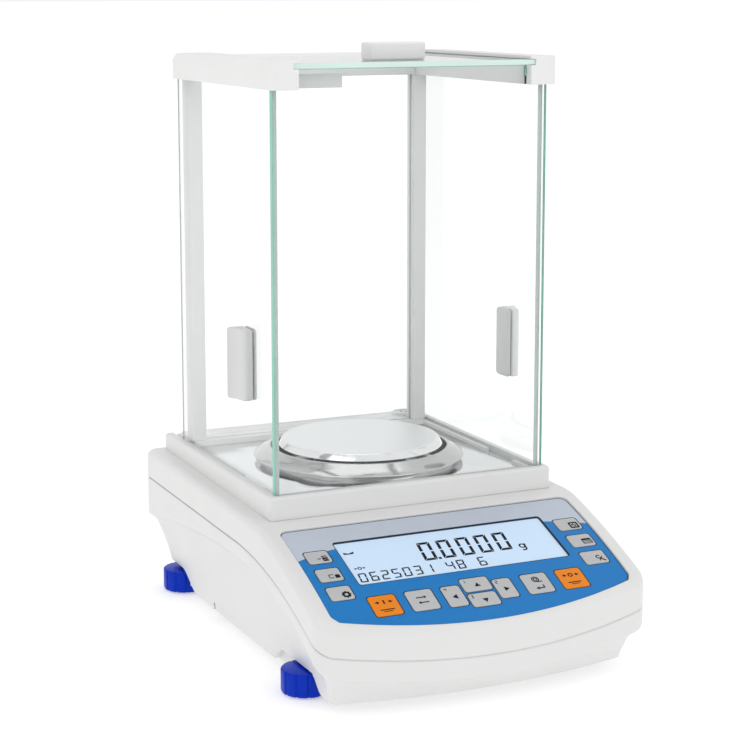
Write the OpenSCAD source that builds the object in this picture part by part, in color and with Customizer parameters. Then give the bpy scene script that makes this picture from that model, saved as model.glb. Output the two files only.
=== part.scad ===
/* [Body] */
// Width of the body over its sides
body_w = 206; // [204:1:208]
// Length of the body from front centre to rear
body_l = 299; // [297:1:301]
// Height of the upper housing's top under the base frame
body_top = 87.4; // [86.9:0.1:87.9]
// Wall thickness of the housing shells
wall = 2.8; // [2.2:0.1:3.2]
// Slope of the keypad panel, in degrees
panel_tilt = 21.7; // [21:0.1:22.4]
// Rise of the convex keypad panel over its chord
panel_bow = 2.4; // [1.6:0.1:3]
// Half width of the keypad film
film_half_w = 93; // [92:0.5:94]

/* [Weighing chamber] */
// Half width of the draft shield's base frame
frame_half_w = 91.9; // [91.5:0.1:92.5]
// Front face of the base frame, behind the body's middle
frame_front = -35.5; // [-36:0.1:-35]
// Rear face of the base frame
frame_rear = 149.2; // [148:0.1:150]
// Height of the base frame's top edge
frame_top = 101.3; // [101:0.1:102]
// Height of the underside of the top rails
rail_z = 332.5; // [325:0.5:340]
// Height of the top rails
rail_h = 16.8; // [16:0.1:18]
// Thickness of the door panes
door_t = 3; // [2.5:0.1:3.2]
// Thickness of the front pane
front_t = 4; // [3.5:0.1:4]
// Distance from the middle to the inner face of a side door
door_x = 83.5; // [83.4:0.1:83.6]

/* [Weighing pan] */
// Distance of the pan's centre behind the body's middle
pan_y = 43.3; // [42:0.1:44]
// Radius of the pan's flat top
pan_r = 48.5; // [45:0.5:49]
// Height of the pan's top
pan_top = 112.6; // [112:0.1:114]
// Outer radius of the draft ring
ring_r = 64; // [62:0.5:66]

/* [Feet] */
// Radius of a levelling knob
knob_r = 14; // [13:0.5:14.5]
// Height of a levelling knob
knob_h = 14.5; // [14:0.5:15]
// Distance of the front feet from the middle line
foot_front_x = 88.5; // [88:0.5:89]
// Distance of the rear feet from the middle line
foot_rear_x = 85.5; // [85:0.5:86]
// Place of the front feet along the body
foot_front_y = -77.5; // [-79:0.5:-76]
// Place of the rear feet along the body
foot_rear_y = 131; // [129:0.5:132]

/* [Keys] */
// Height of a key's embossed face over the film
key_rise = 0.3; // [0.2:0.1:0.5]
// Gap around each key
key_gap = 0.25; // [0.2:0.05:0.4]

/* [Hidden] */
$fn = 64;

half_w = body_w / 2;
rear_y = 155.5;
front_y = rear_y - body_l;
front_arc = 370;            // radius of the front of the body seen from above
front_corner = 12;
rear_corner = 5;
skirt_inset = 12.5;         // how far the skirt's lower edge stands in from the sides
skirt_front_inset = 13.5;   // and from the front
skirt_z = 6.5;              // height of the skirt's lower edge
top_rise = 3.6;             // how much higher the top is at the rear, outside the base frame
seam_gap = 0.3;             // half the groove between the two shells
crease_step = 5;            // step in from the outer band to the skirt

// Keypad panel: where its upper edge lies, and how far down the slope it runs
panel_y = -49.2;
panel_z = 84.5;
panel_len = 82.5;
rim_rise = 1.2;             // housing rim over the film
film_t = 1.2;
film_bow = 15;              // how far the film's front edge bows out
window_half_w = 66.5;
window_top = 16.5;          // distances down the slope
window_bottom = 56.2;
lcd_sink = 0.8;             // display face under the film's top
bow_len = panel_len + film_bow;
bow_r = (bow_len * bow_len / 4 + panel_bow * panel_bow) / (2 * panel_bow);

door_gap = 0.3;
door_front = -27.5;
door_rear = 128;
floor_z = 98;               // top of the floor plate
floor_t = 1.5;
front_pane_y = -32;         // front face of the front pane
post_in = 72.3;
post_out = 81.7;
post_front = 116.5;
post_rear = 127.5;
rail_in = 73.7;
rail_out = 89.6;
rail_front = -38;
top_pane_z = 344.2;         // underside of the top pane
handle_front = 3;           // front face of the door handles
handle_l = 16;
handle_z = 150;
handle_h = 42.5;

screw_places = [[-83, -99], [83, -99], [-88, 60], [88, 60]];
screw_boss_r = 4.5;
column_top = 37;            // where the two shells' screw columns meet

stud_r = 3;
sole_r = 10.6;
sole_h = 2.3;
pin_r = 4;
beam_pivot_y = pan_y + 15;
beam_pivot_z = 48;
pivot_pin_r = 1.5;
coil_y = pan_y + 62;

white = [0.89, 0.89, 0.89];
steel = [0.8, 0.81, 0.83];
blue = [0.0, 0.25, 0.75];
clear = [0.8, 0.93, 0.9, 0.4];

function arc(cx, cy, r, a0, a1, n) =
    [for (i = [0:n]) let (a = a0 + (a1 - a0) * i / n) [cx + r * cos(a), cy + r * sin(a)]];

// Outline of the body from above, d inside the outer face and f further back at the front
function body_outline(d, f = 0) =
    let (w = half_w - d, yc = front_y + front_arc + d + f, rf = max(front_corner - d, 3),
         rr = max(rear_corner - d, 2), cx = w - rf,
         cy = yc - sqrt(pow(front_arc - rf, 2) - cx * cx), a = atan2(cy - yc, cx), yr = rear_y - d)
    concat(arc(0, yc, front_arc, -180 - a, a, 24), arc(cx, cy, rf, a * 0.8, 0, 5),
        arc(w - rr, yr - rr, rr, 0, 90, 5), arc(rr - w, yr - rr, rr, 90, 180, 5),
        arc(-cx, cy, rf, 180, 180 - a * 0.8, 5));

// Height of the seam between the shells, and of the crease under the outer band
function seam(y) = y > 0 ? 70.1 + 0.0145 * y : 70.1 - 40 * pow(min(-y / 143.5, 1), 2.08);
function crease(y) = min(61 - 13.7 * pow((y + 5) / 155, 2),
    seam(y) - 9 - 3.6 * max(min((-108 - y) / 24, 1), 0));

seam_ys = [for (i = [0:16]) front_y - 1 + i * (1 - front_y) / 16];
crease_ys = [for (i = [0:20]) front_y - 1 + i * (body_l + 2) / 20];
big = 400;

// A side outline in Y and Z, made solid across the whole width
module side_profile(points, w = big) {
    rotate([90, 0, 90]) translate([0, 0, -w / 2]) linear_extrude(w) polygon(points);
}

// Region under the seam, or over it
module under_seam(dz) {
    side_profile(concat([[front_y - 1, -1]], [[rear_y + 1, -1]], [[rear_y + 1, seam(rear_y) + dz]],
        [for (i = [16:-1:0]) [seam_ys[i], seam(seam_ys[i]) + dz]]));
}

// Rise of the film's face over the panel's chord, and of the housing's rim, s down the slope
function bow(s) = panel_bow - bow_r + sqrt(pow(bow_r, 2) - pow(s - bow_len / 2, 2));
function rim(s) = bow(s) + rim_rise;

// Point in Y and Z at s down the slope and h over its chord
function panel_point(s, h) = [panel_y - s * cos(panel_tilt) - h * sin(panel_tilt),
    panel_z - s * sin(panel_tilt) + h * cos(panel_tilt)];

// Top of the upper housing from the side: it falls slowly to the front, then down the panel's curve
function top_line(dz, top, rise) =
    let (slope = [for (s = [-11:5:109]) panel_point(s, rim(s) - dz)], last = slope[len(slope) - 1])
    concat([[rear_y + 1, top + rise], [frame_front, top]], [for (p = slope) if (p[1] < top) p],
        [last + [-16, -8]]);

// Place things on the keypad panel: x to the right, y up the slope, z out of the panel
module on_panel() {
    translate([0, panel_y, panel_z]) rotate([panel_tilt, 0, 0]) children();
}

// A flat outline on the panel made into a sheet that follows the panel's curve, from z0 to z1 over the film
module bowed_sheet(z0, z1) {
    on_panel() intersection() {
        translate([0, 0, -10]) linear_extrude(24) children();
        translate([0, -bow_len / 2, panel_bow - bow_r]) rotate([0, 90, 0]) difference() {
            cylinder(h = 2 * half_w, r = bow_r + z1, center = true, $fn = 480);
            cylinder(h = 3 * half_w, r = bow_r + z0, center = true, $fn = 480);
        }
    }
}

module film_outline(grow = 0) {
    w = film_half_w + grow;
    r_bow = (w * w + film_bow * film_bow) / (2 * film_bow);
    corner = 5;
    polygon(concat(arc(0, -panel_len - grow - film_bow + r_bow, r_bow, -90 - asin((w - 3) / r_bow),
            -90 + asin((w - 3) / r_bow), 20),
        arc(w - corner, -panel_len + corner, corner, -30, 0, 3),
        arc(w - corner, grow - corner, corner, 0, 90, 5),
        arc(corner - w, grow - corner, corner, 90, 180, 5),
        arc(corner - w, -panel_len + corner, corner, 180, 210, 3)));
}

module window_outline(d) {
    translate([d - window_half_w, d - window_bottom])
        square([2 * (window_half_w - d), window_bottom - window_top - 2 * d]);
}

module slab(x0, x1, y0, y1, z0, z1) {
    translate([x0, y0, z0]) cube([x1 - x0, y1 - y0, z1 - z0]);
}

// A slab on the left (-1) or on the right (1), from x0 out to x1
module side_slab(side, x0, x1, y0, y1, z0, z1) {
    slab(min(side * x0, side * x1), max(side * x0, side * x1), y0, y1, z0, z1);
}

module each_foot() {
    for (side = [-1, 1], p = [[foot_front_x, foot_front_y], [foot_rear_x, foot_rear_y]])
        translate([side * p[0], p[1], 0]) children();
}

// Keys: centre across, centre down the slope, half width, half height
key_side_w = 7;
key_side_h = 5.6;
key_row_s = 75;
function key_place(name) =
    name == "mode" ? [-80, 27.9, key_side_w, key_side_h]
    : name == "cal" ? [-80, 44.5, key_side_w, key_side_h]
    : name == "setup" ? [-80, 60.7, key_side_w, key_side_h] : name == "power" ? [80.3, 27.9, 7.6, key_side_h]
    : name == "database" ? [80.3, 44.5, 7.6, key_side_h] : name == "function" ? [80.3, 60.7, 7.6, key_side_h]
    : name == "tare" ? [-59.2, key_row_s, 8.1, 8] : name == "units" ? [-36.8, key_row_s, 8.1, 8]
    : name == "left" ? [-17.4, 75.6, 5.7, 8.2] : name == "up" ? [-1, 68.8, 8.6, 5.4]
    : name == "down" ? [-1.4, 81.2, 8.6, 5.2] : name == "right" ? [14.8, 75, 5.6, 7.8]
    : name == "print" ? [35.2, key_row_s, 8.1, 8] : [57.8, key_row_s, 8.1, 8];
KEY_NAMES = ["mode", "cal", "setup", "power", "database", "function", "tare", "units", "left", "up", "down",
    "right", "print", "zero"];

module key_outline(name, grow = 0) {
    k = key_place(name);
    w = k[2] + grow;
    h = k[3] + grow;
    c = 1.5;
    translate([k[0], -k[1]]) polygon([[-w + c, -h], [w - c, -h], [w, -h + c], [w, h - c], [w - c, h],
        [-w + c, h], [-w, h - c], [-w, -h + c]]);
}

module key(name) {
    tone = name == "tare" || name == "zero" ? [1, 0.55, 0.12] : [0.78, 0.78, 0.79];
    color(tone) bowed_sheet(-0.6, key_rise) key_outline(name);
}

// Solid outer form of the lower shell, shrunk by d for its hollow
module lower_form(d) {
    intersection() {
        translate([0, 0, skirt_z + d]) linear_extrude(80) polygon(body_outline(d));
        side_profile(concat([[front_y - 2, 90], [front_y - 2, crease(front_y) + 0.5 * d]],
            [for (y = crease_ys) [y, crease(y) + 0.5 * d]],
            [[rear_y + 2, crease(rear_y) + 0.5 * d], [rear_y + 2, 90]]));
    }
    hull() {
        translate([0, 0, skirt_z + d]) linear_extrude(1)
            polygon(body_outline(skirt_inset + d, skirt_front_inset - skirt_inset));
        intersection() {
            translate([0, 0, skirt_z]) linear_extrude(60) polygon(body_outline(crease_step + d));
            side_profile(concat([for (y = crease_ys) [y, crease(y) + 0.5 * d + 0.1]],
                [for (i = [20:-1:0]) [crease_ys[i], crease(crease_ys[i]) + 0.5 * d - 1]]));
        }
    }
}

// Raised stretches of the skirt's lower edge beside the feet
module foot_bays(x0, x1, z0, z1, grow) {
    for (side = [-1, 1], span = [[-92, -48, 0], [119, 152, 2]])
        side_slab(side, x0, x1, span[0] - grow, span[1] + grow, z0, z1 + span[2]);
}

module base_housing() {
    pocket_r = knob_r + 1.6;
    color(white) difference() {
        union() {
            intersection() {
                difference() {
                    lower_form(0);
                    lower_form(wall);
                }
                under_seam(-seam_gap);
            }
            intersection() {
                union() {
                    each_foot() translate([0, 0, skirt_z + 0.5]) cylinder(h = 26, r = pocket_r + wall);
                    foot_bays(84, 94, skirt_z + 0.5, 18, 3);
                    screw_columns(screw_boss_r, skirt_z + 1, column_top - skirt_z - 1);
                }
                lower_form(0.5);
            }
        }
        each_foot() translate([0, 0, -1]) cylinder(h = knob_h + 2.5, r = pocket_r);
        foot_bays(88.6, 110, -1, 15.2, 0);
        each_foot() translate([0, 0, knob_h]) cylinder(h = 30, r = stud_r + 0.05);
        screw_columns(1.8, 0, 60);
        screw_columns(3.6, 0, skirt_z + 5);
        slab(-79, -61, rear_y - 8, rear_y + 1, 52.2, 65.8);
        slab(-50.2, -34.8, rear_y - 8, rear_y + 1, 55.3, 62.7);
        slab(-18.2, 18.2, rear_y - 8, rear_y + 1, 52.2, 65.8);
    }
}

module screw_columns(r, z0, h) {
    for (p = screw_places) translate([p[0], p[1], z0]) cylinder(h = h, r = r);
}

// Outer form of the upper shell, shrunk by d at the sides and lowered by dz
module upper_form(d, dz, rise = 0) {
    intersection() {
        linear_extrude(200) polygon(body_outline(d));
        side_profile(concat([[rear_y + 1, -1]], top_line(dz, body_top - min(dz, wall), rise),
            [[front_y - 26, -1]]));
    }
}

module upper_housing() {
    color(white) difference() {
        union() {
            difference() {
                upper_form(0, 0, top_rise);
                upper_form(wall, film_t + wall + 0.7);
                under_seam(seam_gap);
            }
            intersection() {
                screw_columns(screw_boss_r, column_top + 0.3, 60);
                upper_form(1, 2);
            }
        }
        screw_columns(1.6, 30, 25);
        bowed_sheet(-film_t, 9) film_outline(0.2);
        translate([0, 0, body_top]) linear_extrude(9) frame_outline(-0.1);
        on_panel() translate([0, 0, -12]) linear_extrude(30) window_outline(0);
        slab(-66, 66, -18, 110, body_top - 8, body_top + 1);
    }
}

module chassis_plate() {
    color(steel) difference() {
        slab(-62, 62, -50, 138, 14, 18);
        for (x = [-54, 54], y = [-42, 130]) translate([x, y, 13]) cylinder(h = 6, r = 2.2);
    }
    color(steel) for (x = [-54, 54], y = [-42, 130]) translate([x, y, skirt_z + wall])
        difference() {
            cylinder(h = 14 - skirt_z - wall, r = 5);
            translate([0, 0, -1]) cylinder(h = 20, r = 2.2);
        }
}

module keypad_film() {
    color([0.12, 0.46, 0.75]) bowed_sheet(-film_t, 0) difference() {
        film_outline();
        window_outline(0);
        for (name = KEY_NAMES) key_outline(name, key_gap);
    }
}

module lcd_module() {
    rise = [bow(window_top), bow(window_bottom)];
    lean = atan2(rise[0] - rise[1], window_bottom - window_top);
    color([0.78, 0.86, 0.94]) on_panel() translate([0, -window_top, rise[0] - lcd_sink]) rotate([lean, 0, 0])
        translate([0.3 - window_half_w, window_top - window_bottom + 0.3, -6])
            cube([2 * window_half_w - 0.6, window_bottom - window_top - 0.6, 6]);
}

module key_board() {
    color([0.1, 0.4, 0.2]) on_panel() translate([-76, -78, -9]) cube([152, 68, 1.6]);
}

module main_board() {
    color([0.1, 0.4, 0.2]) {
        slab(-56, 56, -108, -56, 14, 15.6);
        slab(-50, -20, -104, -80, 15.6, 19);
        slab(0, 14, -98, -84, 15.6, 17.5);
        slab(25, 50, -104, -70, 15.6, 21);
        for (x = [-42, -30, -18, 12]) translate([x, -66, 15.6]) cylinder(h = 9, r = 4);
        for (x = [-50, 50], y = [-103, -61])
            translate([x, y, skirt_z + wall]) cylinder(h = 14 - skirt_z - wall, r = 3);
    }
}

module dc_inlet() {
    color([0.12, 0.12, 0.13]) {
        difference() {
            slab(-78.8, -61.2, rear_y - 14, rear_y - 0.4, 52.4, 65.6);
            translate([-70, rear_y + 1, 59]) rotate([90, 0, 0]) cylinder(h = 11, r = 3.2);
        }
        translate([-70, rear_y - 1.5, 59]) rotate([90, 0, 0]) cylinder(h = 10, r = 1);
    }
}

module usb_port() {
    color(steel) difference() {
        slab(-50, -35, rear_y - 14, rear_y - 0.4, 55.5, 62.5);
        slab(-49.2, -35.8, rear_y - 12, rear_y + 1, 56.3, 61.7);
    }
    color([0.1, 0.1, 0.1]) slab(-48.2, -36.8, rear_y - 12, rear_y - 1.5, 59.4, 61.2);
}

module serial_port() {
    color(steel) {
        difference() {
            slab(-18, 18, rear_y - 10, rear_y - 0.6, 52.4, 65.6);
            for (x = [-14, 14]) translate([x, rear_y + 1, 59]) rotate([90, 0, 0]) cylinder(h = 8, r = 1.6);
            translate([0, rear_y + 1, 0]) rotate([90, 0, 0]) linear_extrude(6)
                polygon([[-9.4, 63.4], [9.4, 63.4], [8, 54.6], [-8, 54.6]]);
        }
        for (i = [0:4])
            translate([-5.6 + 2.8 * i, rear_y - 4, 60.6]) rotate([90, 0, 0]) cylinder(h = 3, r = 0.5);
        for (i = [0:3])
            translate([-4.2 + 2.8 * i, rear_y - 4, 57.4]) rotate([90, 0, 0]) cylinder(h = 3, r = 0.5);
    }
}

module housing_screws() {
    color([0.55, 0.56, 0.58]) {
        screw_columns(3.2, skirt_z + 2, 3);
        screw_columns(1.5, skirt_z + 5, 40);
    }
}

module frame_outline(d) {
    w = frame_half_w - d;
    r = 2.5 - min(d, 1.5);
    front = frame_front + d + r;
    rear = frame_rear - d - r;
    polygon(concat(arc(r - w, front, r, 180, 270, 6), arc(w - r, front, r, 270, 360, 6),
        arc(w - r, rear, r, 0, 90, 6), arc(r - w, rear, r, 90, 180, 6)));
}

module chamber_frame() {
    groove_z = 93.5;
    rib_in = 80.5;
    color(white) difference() {
        translate([0, 0, body_top]) linear_extrude(frame_top - body_top) frame_outline(0);
        slab(-rib_in, rib_in, door_front - 0.2, post_front - 1.2, floor_z - floor_t, 110);
        for (s = [-1, 1]) {
            x0 = door_x - door_gap;
            x1 = door_x + door_t + door_gap;
            side_slab(s, x0, x1, door_front - door_gap, 160, groove_z, 110);
            side_slab(s, 80, 84, -6.5, 28.5, floor_z - 1, 110);
            side_slab(s, 80, 84, door_front - 0.2, 160, 99.8, 110);
        }
        slab(-87.5, 87.5, front_pane_y, front_pane_y + front_t + 0.2, groove_z, 110);
        slab(-73.6, 73.6, 120.5, 123.5, groove_z, 110);
        slab(-76, 76, -22, 112, body_top - 1, groove_z - 1);
        translate([0, pan_y, 80]) cylinder(h = 30, r = 30);
        translate([74.8, 137, frame_top - 4]) cylinder(h = 10, r = 8.1);
        for (y = [131, 144]) slab(-66, 60, y, y + 0.8, frame_top - 0.6, 110);
    }
}

module floor_plate() {
    color(steel) difference() {
        slab(-80.2, 80.2, door_front, post_front - 1.5, floor_z - floor_t, floor_z);
        translate([0, pan_y, 80]) cylinder(h = 30, r = 28);
    }
}

module post(s) {
    color(white) difference() {
        side_slab(s, post_in, post_out, post_front, post_rear, frame_top, rail_z);
        side_slab(s, 70, 73.6, 120.5, 123.5, frame_top - 1, rail_z + 1);
    }
}
module left_post() post(-1);
module right_post() post(1);

module rail(s) {
    top = rail_z + rail_h;
    color(white) difference() {
        intersection() {
            side_slab(s, rail_in, rail_out, rail_front, post_rear, rail_z, top);
            side_profile([[rail_front - 1, rail_z - 1], [128.5, rail_z - 1], [128.5, top - 5],
                [120, top - 0.8], [100, top + 0.1], [rail_front - 1, top + 0.1]]);
        }
        x0 = door_x - door_gap;
        x1 = door_x + door_t + door_gap;
        side_slab(s, x0, x1, door_front - door_gap, 140, rail_z - 1, rail_z + 6);
        side_slab(s, 70, 76.8, rail_front - 1, 140, top_pane_z - 0.3, top_pane_z + door_t + 0.3);
        side_slab(s, 70, 86.7, front_pane_y, front_pane_y + front_t, rail_z - 1, rail_z + 5);
        side_slab(s, 70, 73.9, front_pane_y, front_pane_y + front_t, rail_z, top_pane_z);
    }
}
module left_rail() rail(-1);
module right_rail() rail(1);

module rear_rail() {
    color(white) difference() {
        slab(-rail_in, rail_in, post_front, post_rear, rail_z, top_pane_z - 1.5);
        slab(-80, 80, 120.5, 123.5, rail_z - 1, rail_z + 4);
    }
}

module glass_clips() {
    y0 = front_pane_y + front_t;
    color(white) side_slab(-1, 43.3, rail_in, y0, y0 + 5, rail_z + 0.5, rail_z + 8.5);
}

module front_glass() {
    color(clear) {
        slab(-87.5, 87.5, front_pane_y, front_pane_y + front_t, 93.5, rail_z);
        slab(-86.7, 86.7, front_pane_y, front_pane_y + front_t, rail_z, rail_z + 5);
        slab(-73.7, 73.7, front_pane_y, front_pane_y + front_t, rail_z + 5, top_pane_z - 0.4);
    }
}

module rear_glass() {
    color(clear) slab(-73.6, 73.6, 120.5, 123.5, 93.5, rail_z + 4);
}

module spirit_level() {
    color([0.86, 0.87, 0.88]) translate([74.8, 137, frame_top - 4]) difference() {
        cylinder(h = 6, r = 8);
        translate([0, 0, 2]) cylinder(h = 10, r = 6);
    }
    color([0.75, 0.9, 0.35, 0.6]) translate([74.8, 137, frame_top - 2]) cylinder(h = 3.4, r = 6);
}

module cell_frame() {
    color([0.72, 0.73, 0.75]) difference() {
        union() {
            slab(-30, 30, 24, 130, 18, 26);
            slab(-30, -22, 30, 72, 26, 62);
            slab(22, 30, 30, 72, 26, 62);
            slab(-30, 30, 72, 80, 26, 34);
            for (z = [30, 58]) slab(-22, 22, 66, 72, z, z + 4);
            for (s = [-1, 1]) side_slab(s, 9, 22, beam_pivot_y - 4, beam_pivot_y + 4,
                beam_pivot_z - 5, beam_pivot_z + 5);
        }
        translate([0, pan_y, 10]) cylinder(h = 17, r = 12);
        beam_pin(pivot_pin_r + 0.05, 12);
    }
}

module magnet() {
    color([0.35, 0.36, 0.38]) translate([0, coil_y, 26]) {
        difference() {
            cylinder(h = 16, r = 18);
            translate([0, 0, 3]) cylinder(h = 20, r = 14);
        }
        cylinder(h = 16, r = 7);
    }
}

module hanger() {
    color([0.75, 0.76, 0.78]) {
        translate([0, pan_y, 66]) cylinder(h = 38, r = pin_r);
        slab(-8, 8, pan_y - 5, pan_y + 5, 36, 66);
        slab(-6, 6, pan_y + 5, pan_y + 9, 50, 56);
    }
}

module beam_pin(r, reach) {
    translate([-reach, beam_pivot_y, beam_pivot_z]) rotate([0, 90, 0]) cylinder(h = 2 * reach, r = r);
}

module beam() {
    color([0.7, 0.71, 0.74]) {
        slab(-6, 6, pan_y + 9.6, coil_y + 6, beam_pivot_z - 2, beam_pivot_z + 2);
        beam_pin(pivot_pin_r, 11.7);
    }
}

module coil() {
    color([0.72, 0.45, 0.2]) translate([0, coil_y, 32]) difference() {
        cylinder(h = 14, r = 11.5);
        translate([0, 0, -1]) cylinder(h = 13, r = 9.5);
    }
}

module calibration_weight() {
    color([0.8, 0.8, 0.82]) for (x = [-15, 15]) translate([x, pan_y + 12, 33]) rotate([90, 0, 0])
        cylinder(h = 24, r = 5);
    color([0.8, 0.8, 0.82]) for (y = [pan_y - 12, pan_y + 9]) slab(-15, 15, y, y + 3, 32, 34);
}

module pan_support() {
    color(steel) translate([0, pan_y, 0]) difference() {
        union() {
            translate([0, 0, 100]) cylinder(h = 9, r = 8);
            translate([0, 0, 109]) cylinder(h = 1.6, r = 30);
        }
        translate([0, 0, 99]) cylinder(h = 5.1, r = pin_r + 0.05);
    }
}

module pan() {
    color(steel) translate([0, pan_y, 0]) rotate_extrude($fn = 96) polygon([
        [0, pan_top - 2], [pan_r - 1, pan_top - 2],
        [pan_r + 1.3, pan_top - 5.2], [pan_r + 2.5, pan_top - 5.2], [pan_r + 2.5, pan_top - 3.6],
        [pan_r, pan_top], [0, pan_top]]);
}

module draft_ring() {
    color(steel) translate([0, pan_y, 0]) rotate_extrude($fn = 96) polygon([[57, floor_z], [58.2, floor_z],
        [58.2, 101.6], [ring_r, 101.6], [ring_r, 102.6], [55.4, 108.8],
        [54.4, 109.2], [53.5, 108.8], [53.5, 107.8],
        [54.8, 107.6], [57, 105.6]]);
}

module door_glass(s) {
    color(clear) slab(min(s * door_x, s * (door_x + door_t)), max(s * door_x, s * (door_x + door_t)),
        door_front, door_rear, 94, rail_z + 5.5);
}
module left_door_glass() door_glass(-1);
module right_door_glass() door_glass(1);

module door_handle(s) {
    out = door_x + door_t;
    color([0.93, 0.93, 0.93]) {
        difference() {
            side_slab(s, out, 97, handle_front, handle_front + handle_l,
                handle_z, handle_z + handle_h);
            translate([s * 101.5, handle_front + 11, handle_z - 1]) cylinder(h = handle_h + 2, r = 8);
        }
        side_slab(s, 82, door_x, handle_front, handle_front + handle_l,
            handle_z, handle_z + handle_h);
    }
}
module left_door_handle() door_handle(-1);
module right_door_handle() door_handle(1);

module top_door_glass() {
    color(clear) slab(-76.5, 76.5, -37, post_rear, top_pane_z, top_pane_z + door_t);
}

module top_door_handle() {
    color([0.93, 0.93, 0.93]) {
        slab(-18, 18, -11.5, 2, top_pane_z + door_t, top_pane_z + door_t + 10.4);
        slab(-18, 18, -11.5, 2, top_pane_z - 1.2, top_pane_z);
    }
}

module foot_sole() {
    color([0.13, 0.13, 0.14]) {
        cylinder(h = sole_h, r = sole_r);
        cylinder(h = 6, r = 3);
    }
}
module foot_sole_front_left() translate([-foot_front_x, foot_front_y, 0]) foot_sole();
module foot_sole_front_right() translate([foot_front_x, foot_front_y, 0]) foot_sole();
module foot_sole_rear_left() translate([-foot_rear_x, foot_rear_y, 0]) foot_sole();
module foot_sole_rear_right() translate([foot_rear_x, foot_rear_y, 0]) foot_sole();

module foot_knob() {
    color(blue) difference() {
        union() {
            rotate_extrude() polygon([[0, 0.8], [knob_r - 1.4, 0.8], [knob_r, 2.2],
                [knob_r, knob_h - 0.8], [knob_r - 0.8, knob_h], [0, knob_h]]);
            cylinder(h = 30, r = stud_r);
        }
        for (a = [0:30:359]) rotate(a) translate([knob_r + 0.5, 0, -1]) cylinder(h = 20, r = 1.2);
        translate([0, 0, -1]) cylinder(h = sole_h + 1.2, r = sole_r + 0.3);
        translate([0, 0, -1]) cylinder(h = 7.4, r = 3.05);
    }
}
module foot_knob_front_left() translate([-foot_front_x, foot_front_y, 0]) foot_knob();
module foot_knob_front_right() translate([foot_front_x, foot_front_y, 0]) foot_knob();
module foot_knob_rear_left() translate([-foot_rear_x, foot_rear_y, 0]) foot_knob();
module foot_knob_rear_right() translate([foot_rear_x, foot_rear_y, 0]) foot_knob();

// Bring the middle of the body's length to the origin
module centred() {
    translate([0, -(front_y + rear_y) / 2, 0]) children();
}

centred() base_housing();
centred() upper_housing();
centred() chassis_plate();
centred() keypad_film();
centred() lcd_module();
centred() key_board();
centred() main_board();
centred() dc_inlet();
centred() usb_port();
centred() serial_port();
centred() housing_screws();
centred() chamber_frame();
centred() floor_plate();
centred() left_post();
centred() right_post();
centred() left_rail();
centred() right_rail();
centred() rear_rail();
centred() glass_clips();
centred() front_glass();
centred() rear_glass();
centred() spirit_level();
centred() cell_frame();
centred() magnet();
centred() hanger();
centred() beam();
centred() coil();
centred() calibration_weight();
centred() pan_support();
centred() pan();
centred() draft_ring();
centred() left_door_glass();
centred() left_door_handle();
centred() right_door_glass();
centred() right_door_handle();
centred() top_door_glass();
centred() top_door_handle();
centred() foot_sole_front_left();
centred() foot_sole_front_right();
centred() foot_sole_rear_left();
centred() foot_sole_rear_right();
centred() foot_knob_front_left();
centred() foot_knob_front_right();
centred() foot_knob_rear_left();
centred() foot_knob_rear_right();
centred() key("mode");  // key_mode
centred() key("cal");  // key_cal
centred() key("setup");  // key_setup
centred() key("power");  // key_power
centred() key("database");  // key_database
centred() key("function");  // key_function
centred() key("tare");  // key_tare
centred() key("units");  // key_units
centred() key("left");  // key_left
centred() key("up");  // key_up
centred() key("down");  // key_down
centred() key("right");  // key_right
centred() key("print");  // key_print
centred() key("zero");  // key_zero
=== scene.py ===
import math

import bmesh
import bpy
import numpy as np
from mathutils import Matrix, Vector
from mathutils.geometry import delaunay_2d_cdt


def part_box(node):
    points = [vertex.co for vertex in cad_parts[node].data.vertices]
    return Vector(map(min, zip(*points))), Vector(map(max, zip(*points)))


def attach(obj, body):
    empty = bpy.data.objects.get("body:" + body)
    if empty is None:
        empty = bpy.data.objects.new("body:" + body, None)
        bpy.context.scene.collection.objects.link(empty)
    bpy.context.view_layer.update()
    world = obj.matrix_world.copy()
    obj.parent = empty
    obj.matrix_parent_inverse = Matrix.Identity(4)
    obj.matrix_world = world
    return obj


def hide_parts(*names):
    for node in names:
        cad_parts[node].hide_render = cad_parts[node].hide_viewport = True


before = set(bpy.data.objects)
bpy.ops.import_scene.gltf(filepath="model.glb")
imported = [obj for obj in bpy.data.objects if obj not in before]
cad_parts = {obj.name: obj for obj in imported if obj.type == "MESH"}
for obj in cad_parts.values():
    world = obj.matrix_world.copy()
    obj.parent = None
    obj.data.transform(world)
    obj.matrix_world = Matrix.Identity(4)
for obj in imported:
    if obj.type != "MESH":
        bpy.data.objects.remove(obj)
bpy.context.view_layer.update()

# Looks of a laboratory analytical balance, built around its CAD frame.
# Lengths are in millimetres until MM turns them into Blender's metres. -Y is the front.
# Y is measured from the chamber's middle, and the body's own middle lies at CENTRE_Y.
MM = 0.001
CENTRE_Y = 6
SHIFT = Vector((0, CENTRE_Y, 0))


def extent(node):
    """Lowest and highest corner of a CAD node, in millimetres."""
    low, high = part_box(node)
    return low / MM + SHIFT, high / MM + SHIFT


# ---------------------------------------------------------------- sizes

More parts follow.
